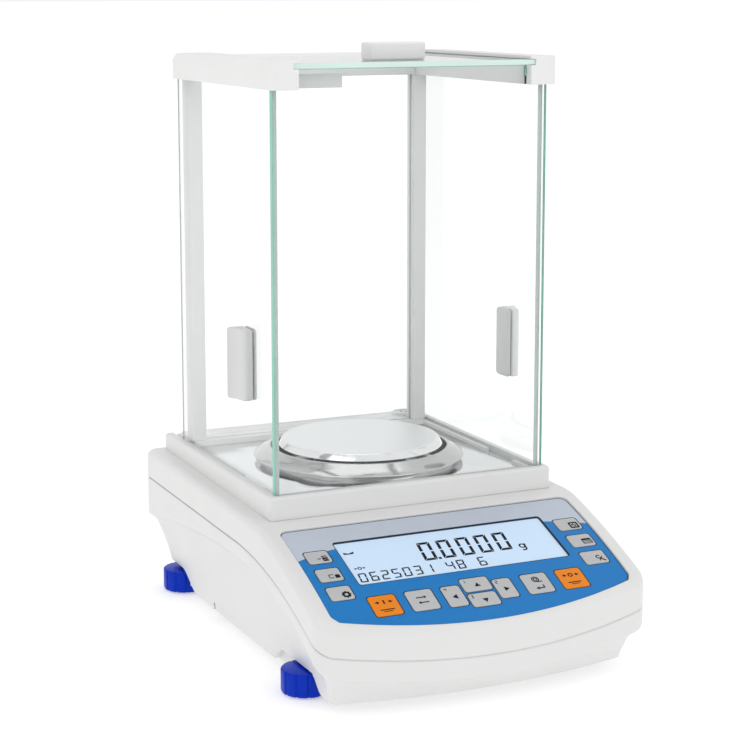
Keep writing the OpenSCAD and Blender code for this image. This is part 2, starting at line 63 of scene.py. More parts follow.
BODY_LOW, BODY_HIGH = extent("base_housing")
HALF_W = BODY_HIGH.x
FRONT_Y = BODY_LOW.y
REAR_Y = BODY_HIGH.y
BODY_TOP = extent("chamber_frame")[0].z
TOP_RISE = extent("upper_housing")[1].z - BODY_TOP
SKIRT_Z = BODY_LOW.z
WALL = 2.8
FRONT_ARC = 370             # radius of the front seen from above
FRONT_CORNER = 12
REAR_CORNER = 5
SHOULDER = 4.5              # rounding between the sides and the top
SKIRT_INSET = 12.5          # how far the skirt's lower edge stands in from the sides
SKIRT_FRONT = 1             # and how much further in at the front
SEAM_GAP = 0.3
SEAM_Z = 70.1               # seam between the shells at the chamber's middle
SEAM_RISE = 0.0145          # its slope behind the middle
SEAM_FALL = 40              # its fall from the middle to the front
SEAM_POWER = 2.08           # how late that fall starts
CREASE_Z = 61               # crease under the outer band, an arch with its top near the middle
CREASE_FALL = 13.7
CREASE_STEP = 5.2           # step in under the crease
CREASE_DROP = 4.6
SEAT_GAP = Vector((0.1, 0.1))
SOCKET_GAP = 0.2
SCREW_BORE_R = 3.6
SCREW_SPOTS = ((83, -99), (88, 60))

PANEL_TILT = math.radians(21.7)
PANEL_Y = -49.2
PANEL_Z = 84.5
PANEL_LEN = 82.5
FILM_BOW = 15
FILM_HALF_W = extent("keypad_film")[1].x
FILM_T = 1.2
FILM_GAP = 0.22
FILM_CORNER = 5
PANEL_BOW = 2.4             # rise of the panel over its chord
BOW_LEN = PANEL_LEN + FILM_BOW
BOW_R = (BOW_LEN ** 2 / 4 + PANEL_BOW ** 2) / (2 * PANEL_BOW)
RIM_RISE = 1.2
WINDOW_HALF_W = 66.5
WINDOW_TOP = 16.5
WINDOW_BOTTOM = 56.2
WINDOW_CORNER = 1.6
LCD_SINK = 0.8
KEY_RISE = 0.3
KEY_GAP = 0.25
KEY_CORNER = 1.7
INK_WEIGHT = 1.3            # boldness of the printed strokes

FOOT_FRONT = sum(extent("foot_sole_front_right"), Vector()) / 2
FOOT_REAR = sum(extent("foot_sole_rear_right"), Vector()) / 2
KNOB_R = 14
KNOB_H = 14.5
KNOB_BORE = 10.9
FLUTES = 12
FLUTE_R = 1.2
FLUTE_STEPS = 26            # points round the knob for each flute
STUD_R = 2.2
POCKET_R = KNOB_R + 1.6
POCKET_TOP = KNOB_H + 1.5

FRAME_LOW, FRAME_HIGH = extent("chamber_frame")
DOOR_LOW, DOOR_HIGH = extent("right_door_glass")
FRONT_LOW, FRONT_HIGH = extent("front_glass")
PAN_LOW, PAN_HIGH = extent("pan")
PAN_Y = (PAN_LOW.y + PAN_HIGH.y) / 2
RING_HIGH = extent("draft_ring")[1]
FLOOR_Z = extent("floor_plate")[1].z
PAN_BORE = 30
SKY = 0.9                   # brightness of the studio all round
DARK_PATCH = (0.3, 0.3, 0.31)       # a darker patch of it, which the steel mirrors
SMALLEST = 0.002            # points closer than this are one


# ---------------------------------------------------------------- materials

def shader_nodes(name):
    """A fresh material with its node tree, its Principled shader and a source of object coordinates."""
    material = bpy.data.materials.new(name)
    material.use_nodes = True
    tree = material.node_tree
    coords = tree.nodes.new("ShaderNodeTexCoord").outputs["Object"]
    return material, tree, tree.nodes["Principled BSDF"], coords


def set_inputs(node, inputs):
    """Set a node's inputs, or link those that are given as the output of another node."""
    for key, value in inputs.items():
        if isinstance(value, bpy.types.NodeSocket):
            node.id_data.links.new(value, node.inputs[key])
        else:
            node.inputs[key].default_value = value


def add_node(tree, kind, output, inputs, operation=None):
    """The named output of a new node."""
    node = tree.nodes.new("ShaderNode" + kind)
    if operation:
        node.operation = operation
    set_inputs(node, inputs)
    return node.outputs[output]


def noise(tree, coords, scale, detail=3.0, stretch=None):
    """Noise of about 1/scale metres across, stretched along the axes where asked."""
    if stretch:
        coords = add_node(tree, "Mapping", "Vector", {"Vector": coords, "Scale": stretch})
    return add_node(tree, "TexNoise", "Fac", {"Vector": coords, "Scale": scale, "Detail": detail})


def span(tree, value, low, high):
    """A 0 to 1 value brought to low..high."""
    return add_node(tree, "MapRange", "Result", {"Value": value, "To Min": low, "To Max": high})


def blend_colours(tree, value, first, second):
    """Colour that goes from first to second with a 0 to 1 value."""
    ramp = tree.nodes.new("ShaderNodeValToRGB")
    for element, colour in zip(ramp.color_ramp.elements, (first, second)):
        element.color = (*colour, 1)
    set_inputs(ramp, {"Fac": value})
    return ramp.outputs["Color"]


def bump(tree, height, strength, distance):
    """Normals of a fine relief."""
    return add_node(tree, "Bump", "Normal", {"Height": height, "Strength": strength, "Distance": distance})


def moulded(name, colour, roughness=0.42, grain=1400, depth=0.05, mottle=0.03, coat=0.0, gloss=0.5):
    """Moulded or printed plastic: faint mottling, spark-eroded grain and a little gloss variation."""
    material, tree, shader, coords = shader_nodes(name)
    dark = tuple(c * (1 - mottle) for c in colour)
    light = tuple(min(c * (1 + mottle), 1) for c in colour)
    fine = noise(tree, coords, grain, 2)
    set_inputs(shader, {
        "Base Color": blend_colours(tree, noise(tree, coords, 28, 4), dark, light),
        "Roughness": span(tree, fine, roughness - 0.06, roughness + 0.06),
        "Normal": bump(tree, fine, depth, 0.0001),
        "Specular IOR Level": gloss, "Coat Weight": coat, "Coat Roughness": 0.08})
    return material


def film_print(name, colour, roughness=0.38, depth=0.08, gloss=0.2):
    """Printed or embossed film, finely grained and nearly without gloss."""
    return moulded(name, colour, roughness, 2200, depth, 0.03, 0, gloss)


def bare_metal(tree, shader, colour, darker, lines, fine, roughness, spread, relief):
    """Metal shading: colour and relief follow the lines, gloss varies with the fine noise."""
    dark = tuple(c * darker for c in colour)
    set_inputs(shader, {
        "Metallic": 1, "Base Color": blend_colours(tree, lines, dark, colour),
        "Roughness": span(tree, fine, max(roughness - spread, 0.02), roughness + spread),
        "Normal": relief})


def metal(name, colour, roughness, stretch=None, scale=900, depth=0.03, spread=0.05):
    """Bare metal with fine, optionally brushed, variation in its gloss."""
    material, tree, shader, coords = shader_nodes(name)
    lines = noise(tree, coords, scale, 3, stretch)
    relief = bump(tree, lines, depth, 0.00004)
    bare_metal(tree, shader, colour, 0.94, lines, lines, roughness, spread, relief)
    return material


def turned_steel(name, colour, roughness, scale=700, depth=0.06, spread=0.06):
    """Steel with concentric turning marks round the pan's axis."""
    material, tree, shader, coords = shader_nodes(name)
    axis = (0, (PAN_Y - CENTRE_Y) * MM, 0)
    from_axis = add_node(tree, "VectorMath", "Vector", {0: coords, 1: axis}, "SUBTRACT")
    flat = add_node(tree, "VectorMath", "Vector", {0: from_axis, 1: (1, 1, 0)}, "MULTIPLY")
    marks = noise(tree, add_node(tree, "VectorMath", "Value", {0: flat}, "LENGTH"), scale, 4)
    speckle = noise(tree, coords, 1500, 2)
    relief = bump(tree, marks, depth, 0.00003)
    bare_metal(tree, shader, colour, 0.96, marks, speckle, roughness, spread, relief)
    return material


def pane_material(name, tint):
    """Clear glass that lets the lamps through."""
    material, tree, shader, _ = shader_nodes(name)
    set_inputs(shader, {"Base Color": (*tint, 1), "Transmission Weight": 1, "IOR": 1.45, "Roughness": 0.0})
    shadow_ray = add_node(tree, "LightPath", "Is Shadow Ray", {})
    clear = add_node(tree, "BsdfTransparent", "BSDF", {"Color": (*tint, 1)})
    both = add_node(tree, "MixShader", "Shader", {"Fac": shadow_ray, 1: shader.outputs["BSDF"], 2: clear})
    set_inputs(tree.nodes["Material Output"], {"Surface": both})
    return material


def glow(material, colour, strength):
    """Light of its own for a lit surface, the display and the stage floor; on the glass edges and the
    level's liquid it is a painted glow.
    """
    shader = material.node_tree.nodes["Principled BSDF"]
    set_inputs(shader, {"Emission Color": (*colour, 1), "Emission Strength": strength})
    return material


WHITE = moulded("housing_white", (0.75, 0.75, 0.745), 0.42)
TRIM = moulded("trim_white", (0.79, 0.79, 0.785), 0.4)
# The side doors' handles get a darker copy of the handle white as painted shade, and the top handle a
# lighter copy as painted light.
HANDLE_PAINTED_SHADE = moulded("handle_white", (0.67, 0.67, 0.67), 0.36)
HANDLE_TOP_PAINTED_LIGHT = moulded("handle_top_painted_light", (0.86, 0.86, 0.86), 0.36)
FILM_BLUE = film_print("film_blue", (0.008, 0.19, 0.53))
FILM_GREY = film_print("film_grey", (0.52, 0.57, 0.66))
FILM_LINE = film_print("film_line", (0.02, 0.035, 0.055), 0.45, 0.05)
KEY_GREY = film_print("key_grey", (0.50, 0.505, 0.515), gloss=0.25)
KEY_ORANGE = film_print("key_orange", (0.82, 0.235, 0.008))
INK = film_print("ink_black", (0.006, 0.006, 0.008), 0.5, 0.03, 0.15)
LCD_FACE = glow(moulded("lcd_face", (0.52, 0.65, 0.80), 0.3, 900, 0.01, 0.02, 0, 0.2),
                (0.55, 0.72, 0.95), 0.22)
GLASS = pane_material("glass_clear", (0.985, 0.998, 0.992))
# The panes' ground edges are tinted and also glow a little of their own: painted light.
GLASS_EDGE_PAINTED_GLOW = glow(moulded("glass_edge_painted_glow", (0.12, 0.46, 0.33), 0.2, 300, 0.02, 0.25, 0.6),
                  (0.1, 0.55, 0.36), 0.1)
GLASS_EDGE_TOP_PAINTED_GLOW = glow(moulded("glass_edge_top_painted_glow", (0.52, 0.66, 0.62), 0.25, 300, 0.02, 0.1, 0.5),
                      (0.7, 0.85, 0.8), 0.15)
GLASS_EDGE_PALE_PAINTED_GLOW = glow(moulded("glass_edge_pale_painted_glow", (0.50, 0.56, 0.55), 0.25, 300, 0.02, 0.1, 0.5),
                       (0.7, 0.8, 0.78), 0.08)
PAN_TOP = turned_steel("pan_satin", (0.86, 0.865, 0.88), 0.42)
PAN_RIM = turned_steel("pan_polish", (0.84, 0.84, 0.86), 0.08, 500, 0.02, 0.03)
RING_STEEL = turned_steel("ring_polish", (0.54, 0.54, 0.545), 0.12, 420, 0.05, 0.05)
# Near-black steel on the ring's inner wall: painted shade of the cavity between ring and pan.
RING_INSIDE_PAINTED_SHADE = metal("ring_inside_painted_shade", (0.05, 0.05, 0.052), 0.5)
FLOOR_STEEL = metal("floor_satin", (0.78, 0.79, 0.81), 0.16, (1, 14, 1), 420, 0.02, 0.05)
ALUMINIUM = metal("cast_aluminium", (0.7, 0.71, 0.73), 0.4, None, 500, 0.2)
SCREW_STEEL = metal("screw_zinc", (0.6, 0.61, 0.63), 0.3)
CONNECTOR_STEEL = metal("connector_nickel", (0.72, 0.72, 0.73), 0.25)
CONNECTOR_BLACK = moulded("connector_black", (0.02, 0.02, 0.022), 0.5)
MAGNET = metal("magnet_iron", (0.3, 0.3, 0.32), 0.45, None, 600, 0.3)
COPPER = metal("coil_copper", (0.85, 0.42, 0.2), 0.3, (1, 1, 60), 300, 0.5)
WEIGHT_STEEL = metal("weight_steel", (0.78, 0.78, 0.8), 0.15)
BOARD = moulded("circuit_green", (0.01, 0.12, 0.05), 0.35, 300, 0.3, 0.2)
FOOT_BLUE = moulded("foot_blue", (0.0, 0.03, 0.47), 0.3, 900, 0.02, 0.05, 0, 0.12)
RUBBER = moulded("sole_rubber", (0.02, 0.02, 0.021), 0.75, 900, 0.3, 0.1)
LEVEL_BODY = moulded("level_body", (0.72, 0.73, 0.74), 0.3)
# The level's liquid glows a little of its own: painted light.
LEVEL_LIQUID_PAINTED_GLOW = glow(moulded("level_liquid_painted_glow", (0.60, 0.64, 0.55), 0.1, 200, 0.01, 0.05, 0.8),
                    (0.6, 0.64, 0.55), 0.1)


# ---------------------------------------------------------------- mesh helpers

def finish_mesh(obj, sharp=38):
    """Merge coincident points, turn the faces outwards and shade the object."""
    mesh = bmesh.new()
    mesh.from_mesh(obj.data)
    bmesh.ops.remove_doubles(mesh, verts=mesh.verts, dist=SMALLEST * MM)
    bmesh.ops.recalc_face_normals(mesh, faces=mesh.faces)
    mesh.to_mesh(obj.data)
    mesh.free()
    obj.data.shade_smooth()
    obj.data.set_sharp_from_angle(angle=math.radians(sharp))
    return obj


def new_object(name, points, faces, materials, slots=None, sharp=38):
    """Object from points in millimetres, with the material number of each face in slots."""
    mesh = bpy.data.meshes.new(name)
    mesh.from_pydata([(x * MM, (y - CENTRE_Y) * MM, z * MM) for x, y, z in points], [], faces)
    for material in materials:
        mesh.materials.append(material)
    if slots:
        mesh.polygons.foreach_set("material_index", slots)
    obj = bpy.data.objects.new(name, mesh)
    bpy.context.scene.collection.objects.link(obj)
    return finish_mesh(obj, sharp)


def place(obj, body, slot, node):
    """Make a finished piece move with a body and stand for a CAD node, which it hides. slot is not used."""
    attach(obj, body)
    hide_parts(node)


def loft(rings, cap_first=False, cap_last=False):
    """Points and faces between closed rings that have the same number of points."""
    n = len(rings[0])
    points = [p for ring in rings for p in ring]
    faces = []
    for k in range(len(rings) - 1):
        for i in range(n):
            j = (i + 1) % n
            faces.append((k * n + i, k * n + j, (k + 1) * n + j, (k + 1) * n + i))
    if cap_first:
        faces.append(tuple(reversed(range(n))))
    if cap_last:
        faces.append(tuple(range((len(rings) - 1) * n, len(rings) * n)))
    return points, faces


def join(parts):
    """One list of points and faces, with face slots, out of several (points, faces, slot) parts."""
    points, faces, slots = [], [], []
    for part_points, part_faces, slot in parts:
        start = len(points)
        points += list(part_points)
        faces += [tuple(start + i for i in face) for face in part_faces]
        slots += [slot] * len(part_faces)
    return points, faces, slots


def build_piece(parts, materials, sharp, body, slot, node, name=None):
    """A finished piece out of several (points, faces, slot) parts, which stands for a CAD node."""
    points, faces, slots = join(parts)
    obj = new_object(name or node + "_finish", points, faces, materials, slots, sharp)
    place(obj, body, slot, node)


def arc(cx, cy, r, start, end, n):
    """Points along an arc, with its angles in degrees."""
    steps = [math.radians(start + (end - start) * i / n) for i in range(n + 1)]
    return [(cx + r * math.cos(a), cy + r * math.sin(a)) for a in steps]


def rounded_rect(x0, x1, y0, y1, r, n=5):
    """Closed outline of a rectangle with round corners."""
    return (arc(x1 - r, y0 + r, r, -90, 0, n) + arc(x1 - r, y1 - r, r, 0, 90, n)
            + arc(x0 + r, y1 - r, r, 90, 180, n) + arc(x0 + r, y0 + r, r, 180, 270, n))


def at_height(outline, z):
    """A flat outline as a ring of points at height z."""
    return [(x, y, z) for x, y in outline]


def rounding(r, n):
    """Inset and drop along a quarter circle, from an upright wall to a flat top."""
    angles = [math.pi / 2 * i / n for i in range(n + 1)]
    return [(r * (1 - math.cos(a)), r * (1 - math.sin(a))) for a in angles]


def soft_levels(z0, z1, edge, steps):
    """Inset and height of each ring of a block with round lower and upper edges."""
    curve = rounding(edge, steps)
    levels = [(inset, z0 + drop) for inset, drop in reversed(curve)]
    return levels + [(inset, z1 - drop) for inset, drop in curve]


def rounded_block(x0, x1, y0, y1, z0, z1, corner, edge, steps=4):
    """Upright block with round corners and soft upper and lower edges: points and faces."""
    rings = []
    for inset, z in soft_levels(z0, z1, edge, steps):
        outline = rounded_rect(x0 + inset, x1 - inset, y0 + inset, y1 - inset, max(corner - inset, 0.2))
        rings.append(at_height(outline, z))
    return loft(rings, True, True)


def box_part(x0, x1, y0, y1, z0, z1):
    """Points and faces of a plain block, for cutters."""
    ring = [(x0, y0), (x1, y0), (x1, y1), (x0, y1)]
    return loft([at_height(ring, z0), at_height(ring, z1)], True, True)


def disc_part(cx, cy, r, z0, z1, n=72):
    """Points and faces of an upright drum, for cutters."""
    ring = arc(cx, cy, r, 0, 360 - 360 / n, n - 1)
    return loft([at_height(ring, z0), at_height(ring, z1)], True, True)


def steps_from(r, z, steps):
    """Profile points given by their steps from radius r and height z."""
    return [(r + out, z + up) for out, up in steps]


def lathe(profile, cx, cy, n=160):
    """Points and faces of a turned profile of (radius, z) about an upright axis."""
    rings = [[(cx + r * math.cos(2 * math.pi * i / n), cy + r * math.sin(2 * math.pi * i / n), z)
              for i in range(n)] for r, z in profile]
    return loft(rings)


def cut(obj, parts, sharp=38):
    """Take the union of some closed parts out of an object."""
    points, faces, _ = join([(*part, 0) for part in parts])
    cutter = new_object("cutter", points, faces, [])
    modifier = obj.modifiers.new("cut", "BOOLEAN")
    modifier.operation = "DIFFERENCE"
    modifier.solver = "EXACT"
    modifier.use_self = True
    modifier.object = cutter
    apply_modifiers(obj)
    bpy.data.objects.remove(cutter)
    finish_mesh(obj, sharp)


def apply_modifiers(obj):
    """Put the result of an object's modifiers into its mesh."""
    bpy.context.view_layer.update()
    evaluated = obj.evaluated_get(bpy.context.evaluated_depsgraph_get())
    mesh = bpy.data.meshes.new_from_object(evaluated)
    obj.modifiers.clear()
    obj.data = mesh


def round_edges(obj, width, segments=2, angle=40):
    """Round the object's edges that turn by more than angle."""
    mesh = bmesh.new()
    mesh.from_mesh(obj.data)
    edges = [e for e in mesh.edges if len(e.link_faces) == 2 and e.calc_length() > 0
             and e.calc_face_angle(0) > math.radians(angle)]
    bmesh.ops.bevel(mesh, geom=edges, offset=width * MM, segments=segments, profile=0.5,
                    affect="EDGES", clamp_overlap=True)
    mesh.to_mesh(obj.data)
    mesh.free()
    finish_mesh(obj)


def copy_node(node, name, materials):
    """A CAD node's shape as an object of its own, with each flat face made whole."""
    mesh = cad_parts[node].data.copy()
    obj = bpy.data.objects.new(name, mesh)
    bpy.context.scene.collection.objects.link(obj)
    mesh.materials.clear()
    for material in materials:
        mesh.materials.append(material)
    clean = bmesh.new()
    clean.from_mesh(mesh)
    bmesh.ops.remove_doubles(clean, verts=clean.verts, dist=SMALLEST / 2 * MM)
    bmesh.ops.dissolve_limit(clean, angle_limit=math.radians(1), verts=clean.verts, edges=clean.edges)
    for face in clean.faces:
        face.material_index = 0
    clean.to_mesh(mesh)
    clean.free()
    return obj


def soften(node, body, slot, material, width, segments=2, angle=40):
    """A CAD node's shape with its edges rounded, which stands for the node."""
    obj = copy_node(node, node + "_finish", [material])
    round_edges(obj, width, segments, angle)
    place(obj, body, slot, node)


def inside(points, loop):
    """Which of some flat points lie inside a closed loop."""
    p = np.asarray(points, float)[:, None, :]
    a = np.asarray(loop, float)[None, :, :]
    b = np.roll(a, -1, axis=1)
    crosses = (a[..., 1] > p[..., 1]) != (b[..., 1] > p[..., 1])
    rise = np.where(b[..., 1] == a[..., 1], 1e-9, b[..., 1] - a[..., 1])
    reach = a[..., 0] + (p[..., 1] - a[..., 1]) * (b[..., 0] - a[..., 0]) / rise
    return (crosses & (p[..., 0] < reach)).sum(axis=1) % 2 == 1


def triangulate(outer, holes, lines, step):
    """Flat triangles that fill outer around the holes, keep to the lines and have points every step."""
    points, edges = [], []
    for loop in [outer, *holes]:
        first = len(points)
        points += list(loop)
        edges += [(first + i, first + (i + 1) % len(loop)) for i in range(len(loop))]
    for line in lines:
        first = len(points)
        points += list(line)
        edges += [(first + i, first + i + 1) for i in range(len(line) - 1)]
    xs, ys = zip(*outer)
    grid = np.array([(x, y) for x in np.arange(min(xs) + step / 2, max(xs), step)
                     for y in np.arange(min(ys) + step / 2, max(ys), step)])
    keep = inside(grid, outer)
    for hole in holes:
        keep &= ~inside(grid, hole)
    grid = grid[keep]
    fixed = np.array(points)
    near = np.min(np.linalg.norm(grid[:, None, :] - fixed[None, :, :], axis=2), axis=1)
    points += [tuple(p) for p in grid[near > 0.45 * step]]
    flat, _, faces, *_ = delaunay_2d_cdt([Vector(p) for p in points], edges, [], 0, 1e-5)
    flat = np.array([tuple(p) for p in flat])
    centres = np.array([flat[list(face)].mean(axis=0) for face in faces])
    keep = inside(centres, outer)
    for hole in holes:
        keep &= ~inside(centres, hole)
    return flat, [tuple(face) for face, kept in zip(faces, keep) if kept], centres[keep]


def plate(outer, holes, lines, step, top, bottom, slot_of):
    """Points, faces and slots of a sheet. top and bottom turn flat points into those of its two sides."""
    flat, faces, centres = triangulate(outer, holes, lines, step)
    n = len(flat)
    points = [top(*p) for p in flat] + [bottom(*p) for p in flat]
    slots = [slot_of(*c) for c in centres]
    sides = {}
    for face, slot in zip(faces, slots):
        for i in range(len(face)):
            sides[(face[i], face[(i + 1) % len(face)])] = slot
    walls = [(pair, slot) for pair, slot in sides.items() if pair[::-1] not in sides]
    under = [tuple(n + i for i in reversed(face)) for face in faces]
    wall_faces = [(b, a, n + a, n + b) for (a, b), _ in walls]
    return points, faces + under + wall_faces, slots + slots + [slot for _, slot in walls]


# ---------------------------------------------------------------- body shape

def clamp(value):
    """The value brought within 0 to 1."""
    return min(max(value, 0), 1)


def smooth(value):
    """0 to 1 with a soft start and a soft end."""
    t = clamp(value)
    return t * t * (3 - 2 * t)


def body_outline(d, f=0):
    """Outline of the body from above, d inside its outer face and f further back at the front."""
    w = HALF_W - d
    centre = FRONT_Y + FRONT_ARC + d + f
    rf = max(FRONT_CORNER - d, 3)
    rr = max(REAR_CORNER - d, 2)
    cx = w - rf
    cy = centre - math.sqrt((FRONT_ARC - rf) ** 2 - cx * cx)
    turn = math.degrees(math.atan2(cy - centre, cx))
    rear = REAR_Y - d
    right = arc(0, centre, FRONT_ARC, -90, turn, 28)
    right += arc(cx, cy, rf, turn, 0, 9)[1:]
    side = 84
    right += [(w, cy + (rear - rr - cy) * i / side) for i in range(1, side)]
    right += arc(w - rr, rear - rr, rr, 0, 90, 8)
    back = 28
    right += [((w - rr) * (1 - i / back), rear) for i in range(1, back)]
    return right + [(-x, y) for x, y in [(0, rear)] + right[:0:-1]]


def seam(y):
    """Height of the seam between the two shells."""
    if y > 0:
        return SEAM_Z + SEAM_RISE * y
    return SEAM_Z - SEAM_FALL * min(y / FRONT_Y, 1) ** SEAM_POWER


def crease(y):
    """Height of the crease under the outer band of the lower shell."""
    arch = CREASE_Z - CREASE_FALL * ((y + 5) / 155) ** 2
    under_seam = seam(y) - 9 - 3.6 * clamp((-108 - y) / 24)
    return min(arch, under_seam)


def bow(s):
    """Rise of the film's face over the panel's chord, s down the slope."""
    return PANEL_BOW - BOW_R + math.sqrt(BOW_R ** 2 - (s - BOW_LEN / 2) ** 2)


def rim(s):
    """Rise of the housing beside the film."""
    return bow(s) + RIM_RISE


def on_panel(x, s, h):
    """Point on the sloping panel: x across, s down the slope, h over its chord."""
    return (x, PANEL_Y - s * math.cos(PANEL_TILT) - h * math.sin(PANEL_TILT),
            PANEL_Z - s * math.sin(PANEL_TILT) + h * math.cos(PANEL_TILT))


SLOPE = [on_panel(0, s, rim(s)) for s in range(120, -25, -1)]
SLOPE_Y = [p[1] for p in SLOPE]
SLOPE_Z = [p[2] for p in SLOPE]
KINK = 1.6                  # softness of the turn from the top into the panel
RISE_START = FRAME_LOW.y - 3


def top_height(y):
    """Height of the upper shell's top surface, which rises a little to the rear."""
    z = float(np.interp(y, SLOPE_Y, SLOPE_Z))
    deck = BODY_TOP + TOP_RISE * clamp((y - RISE_START) / (REAR_Y - RISE_START))
    blend = max(KINK - abs(z - deck), 0) / KINK
    return min(z, deck) - blend ** 2 * KINK / 4


def film_outline(grow=0.0):
    """Outline of the keypad film in (x, s), grown outwards."""
    w = FILM_HALF_W + grow
    r = (w * w + FILM_BOW ** 2) / (2 * FILM_BOW)
    centre = -PANEL_LEN - grow - FILM_BOW + r
    half = math.degrees(math.asin((w - 3.2) / r))
    corner = FILM_CORNER + grow
    low = FILM_CORNER - PANEL_LEN
    side = [(w, low + (PANEL_LEN - 2 * FILM_CORNER) * i / 16) for i in range(1, 16)]
    outline = arc(0, centre, r, -90 - half, -90 + half, 64)
    outline += arc(w - corner, low, corner, -34, 0, 6) + side
    outline += arc(w - corner, grow - corner, corner, 0, 90, 8)
    outline += [((w - corner) * (1 - i / 12), grow) for i in range(1, 24)]
    outline += arc(corner - w, grow - corner, corner, 90, 180, 8)
    outline += [(-x, y) for x, y in reversed(side)]
    outline += arc(corner - w, low, corner, 180, 214, 6)
    return [(x, -y) for x, y in outline]


def window_outline(grow=0.0):
    """Outline of the display's window in (x, s), grown outwards."""
    return rounded_rect(-WINDOW_HALF_W - grow, WINDOW_HALF_W + grow, WINDOW_TOP - grow,
                        WINDOW_BOTTOM + grow, WINDOW_CORNER + max(grow, 0))


# ---------------------------------------------------------------- upper shell

def build_upper_shell():
    """Upper housing: rounded shoulders, convex keypad slope with the film's recess, and an open middle."""
    base = body_outline(0)
    inner = body_outline(10)
    recess = [on_panel(x, s, rim(s))[:2] for x, s in film_outline(0.75)]
    gap = np.min(np.linalg.norm(np.array(base)[:, None] - np.array(recess)[None], axis=2), axis=1)
    radius = np.minimum(SHOULDER, 0.84 * gap)
    for _ in range(6):
        radius = (np.roll(radius, 1) + radius + np.roll(radius, -1)) / 3

    def at(i, d):
        t = d / 10
        return (base[i][0] + (inner[i][0] - base[i][0]) * t, base[i][1] + (inner[i][1] - base[i][1]) * t)

    n = len(base)
    lower = [seam(y) + SEAM_GAP for _, y in base]
    rings = [[(*at(i, d), lower[i] + rise) for i in range(n)] for d, rise in ((WALL, 0), (0.5, 0), (0, 0.5))]
    steps = 9
    for share in (0.3, 0.65):
        rings.append([(*at(i, 0), lower[i] + 0.5 + share * (top_height(base[i][1]) - radius[i] - lower[i]))
                      for i in range(n)])
    for k in range(steps + 1):
        a = math.pi / 2 * k / steps
        ring = []
        for i in range(n):
            x, y = at(i, radius[i] * (1 - math.cos(a)))
            ring.append((x, y, top_height(y) - radius[i] * (1 - math.sin(a))))
        rings.append(ring)
    parts = [(*loft(rings), 0)]

    seat_low, seat_high = FRAME_LOW.xy - SEAT_GAP, FRAME_HIGH.xy + SEAT_GAP
    seat = rounded_rect(seat_low.x, seat_high.x, seat_low.y, seat_high.y, 2.6, 8)
    opening = rounded_rect(-66, 66, -18, 110, 3)
    flat, faces, _ = triangulate([p[:2] for p in rings[-1]], [recess, seat], [], 5)
    parts.append(([(x, y, top_height(y)) for x, y in flat], faces, 0))
    parts.append((*loft([[(x, y, top_height(y)) for x, y in seat], at_height(seat, BODY_TOP)]), 0))
    flat, faces, _ = triangulate(seat, [opening], [], 12)
    parts.append((at_height(flat, BODY_TOP), faces, 0))
    parts.append((*loft([at_height(opening, BODY_TOP), at_height(opening, BODY_TOP - WALL)]), 0))
    lip = [(0.75, 0), (0.5, -0.06), (0.32, -0.2), (FILM_GAP + 0.02, -0.42)]
    rings = [[on_panel(x, s, rim(s) + drop) for x, s in film_outline(grow)] for grow, drop in lip]
    rings.append([on_panel(x, s, bow(s) - FILM_T) for x, s in film_outline(FILM_GAP)])
    parts.append((*loft(rings), 0))
    floor, faces, _ = triangulate(film_outline(FILM_GAP), [window_outline(-0.05)], [], 8)
    parts.append(([on_panel(x, s, bow(s) - FILM_T) for x, s in floor], faces, 0))
    points, faces, slots = join(parts)
    shell = new_object("upper_shell", points, faces, [WHITE], slots)
    wall = shell.modifiers.new("wall", "SOLIDIFY")
    wall.thickness = 1.6 * MM
    wall.offset = -1
    wall.use_even_offset = False
    apply_modifiers(shell)
    finish_mesh(shell, 32)
    place(shell, "root", "housing_white", "upper_housing")


# ---------------------------------------------------------------- lower shell

def edge_height(x, y):
    """Height of the skirt's lower edge: raised beside the front feet and round the rear corners."""
    front = 8.7 * smooth((y + 105) / 14) * smooth((-35 - y) / 14)
    rear = 10.7 * smooth((y - 94) / 27)
    return SKIRT_Z + smooth((abs(x) - 70) / 9) * max(front, rear)


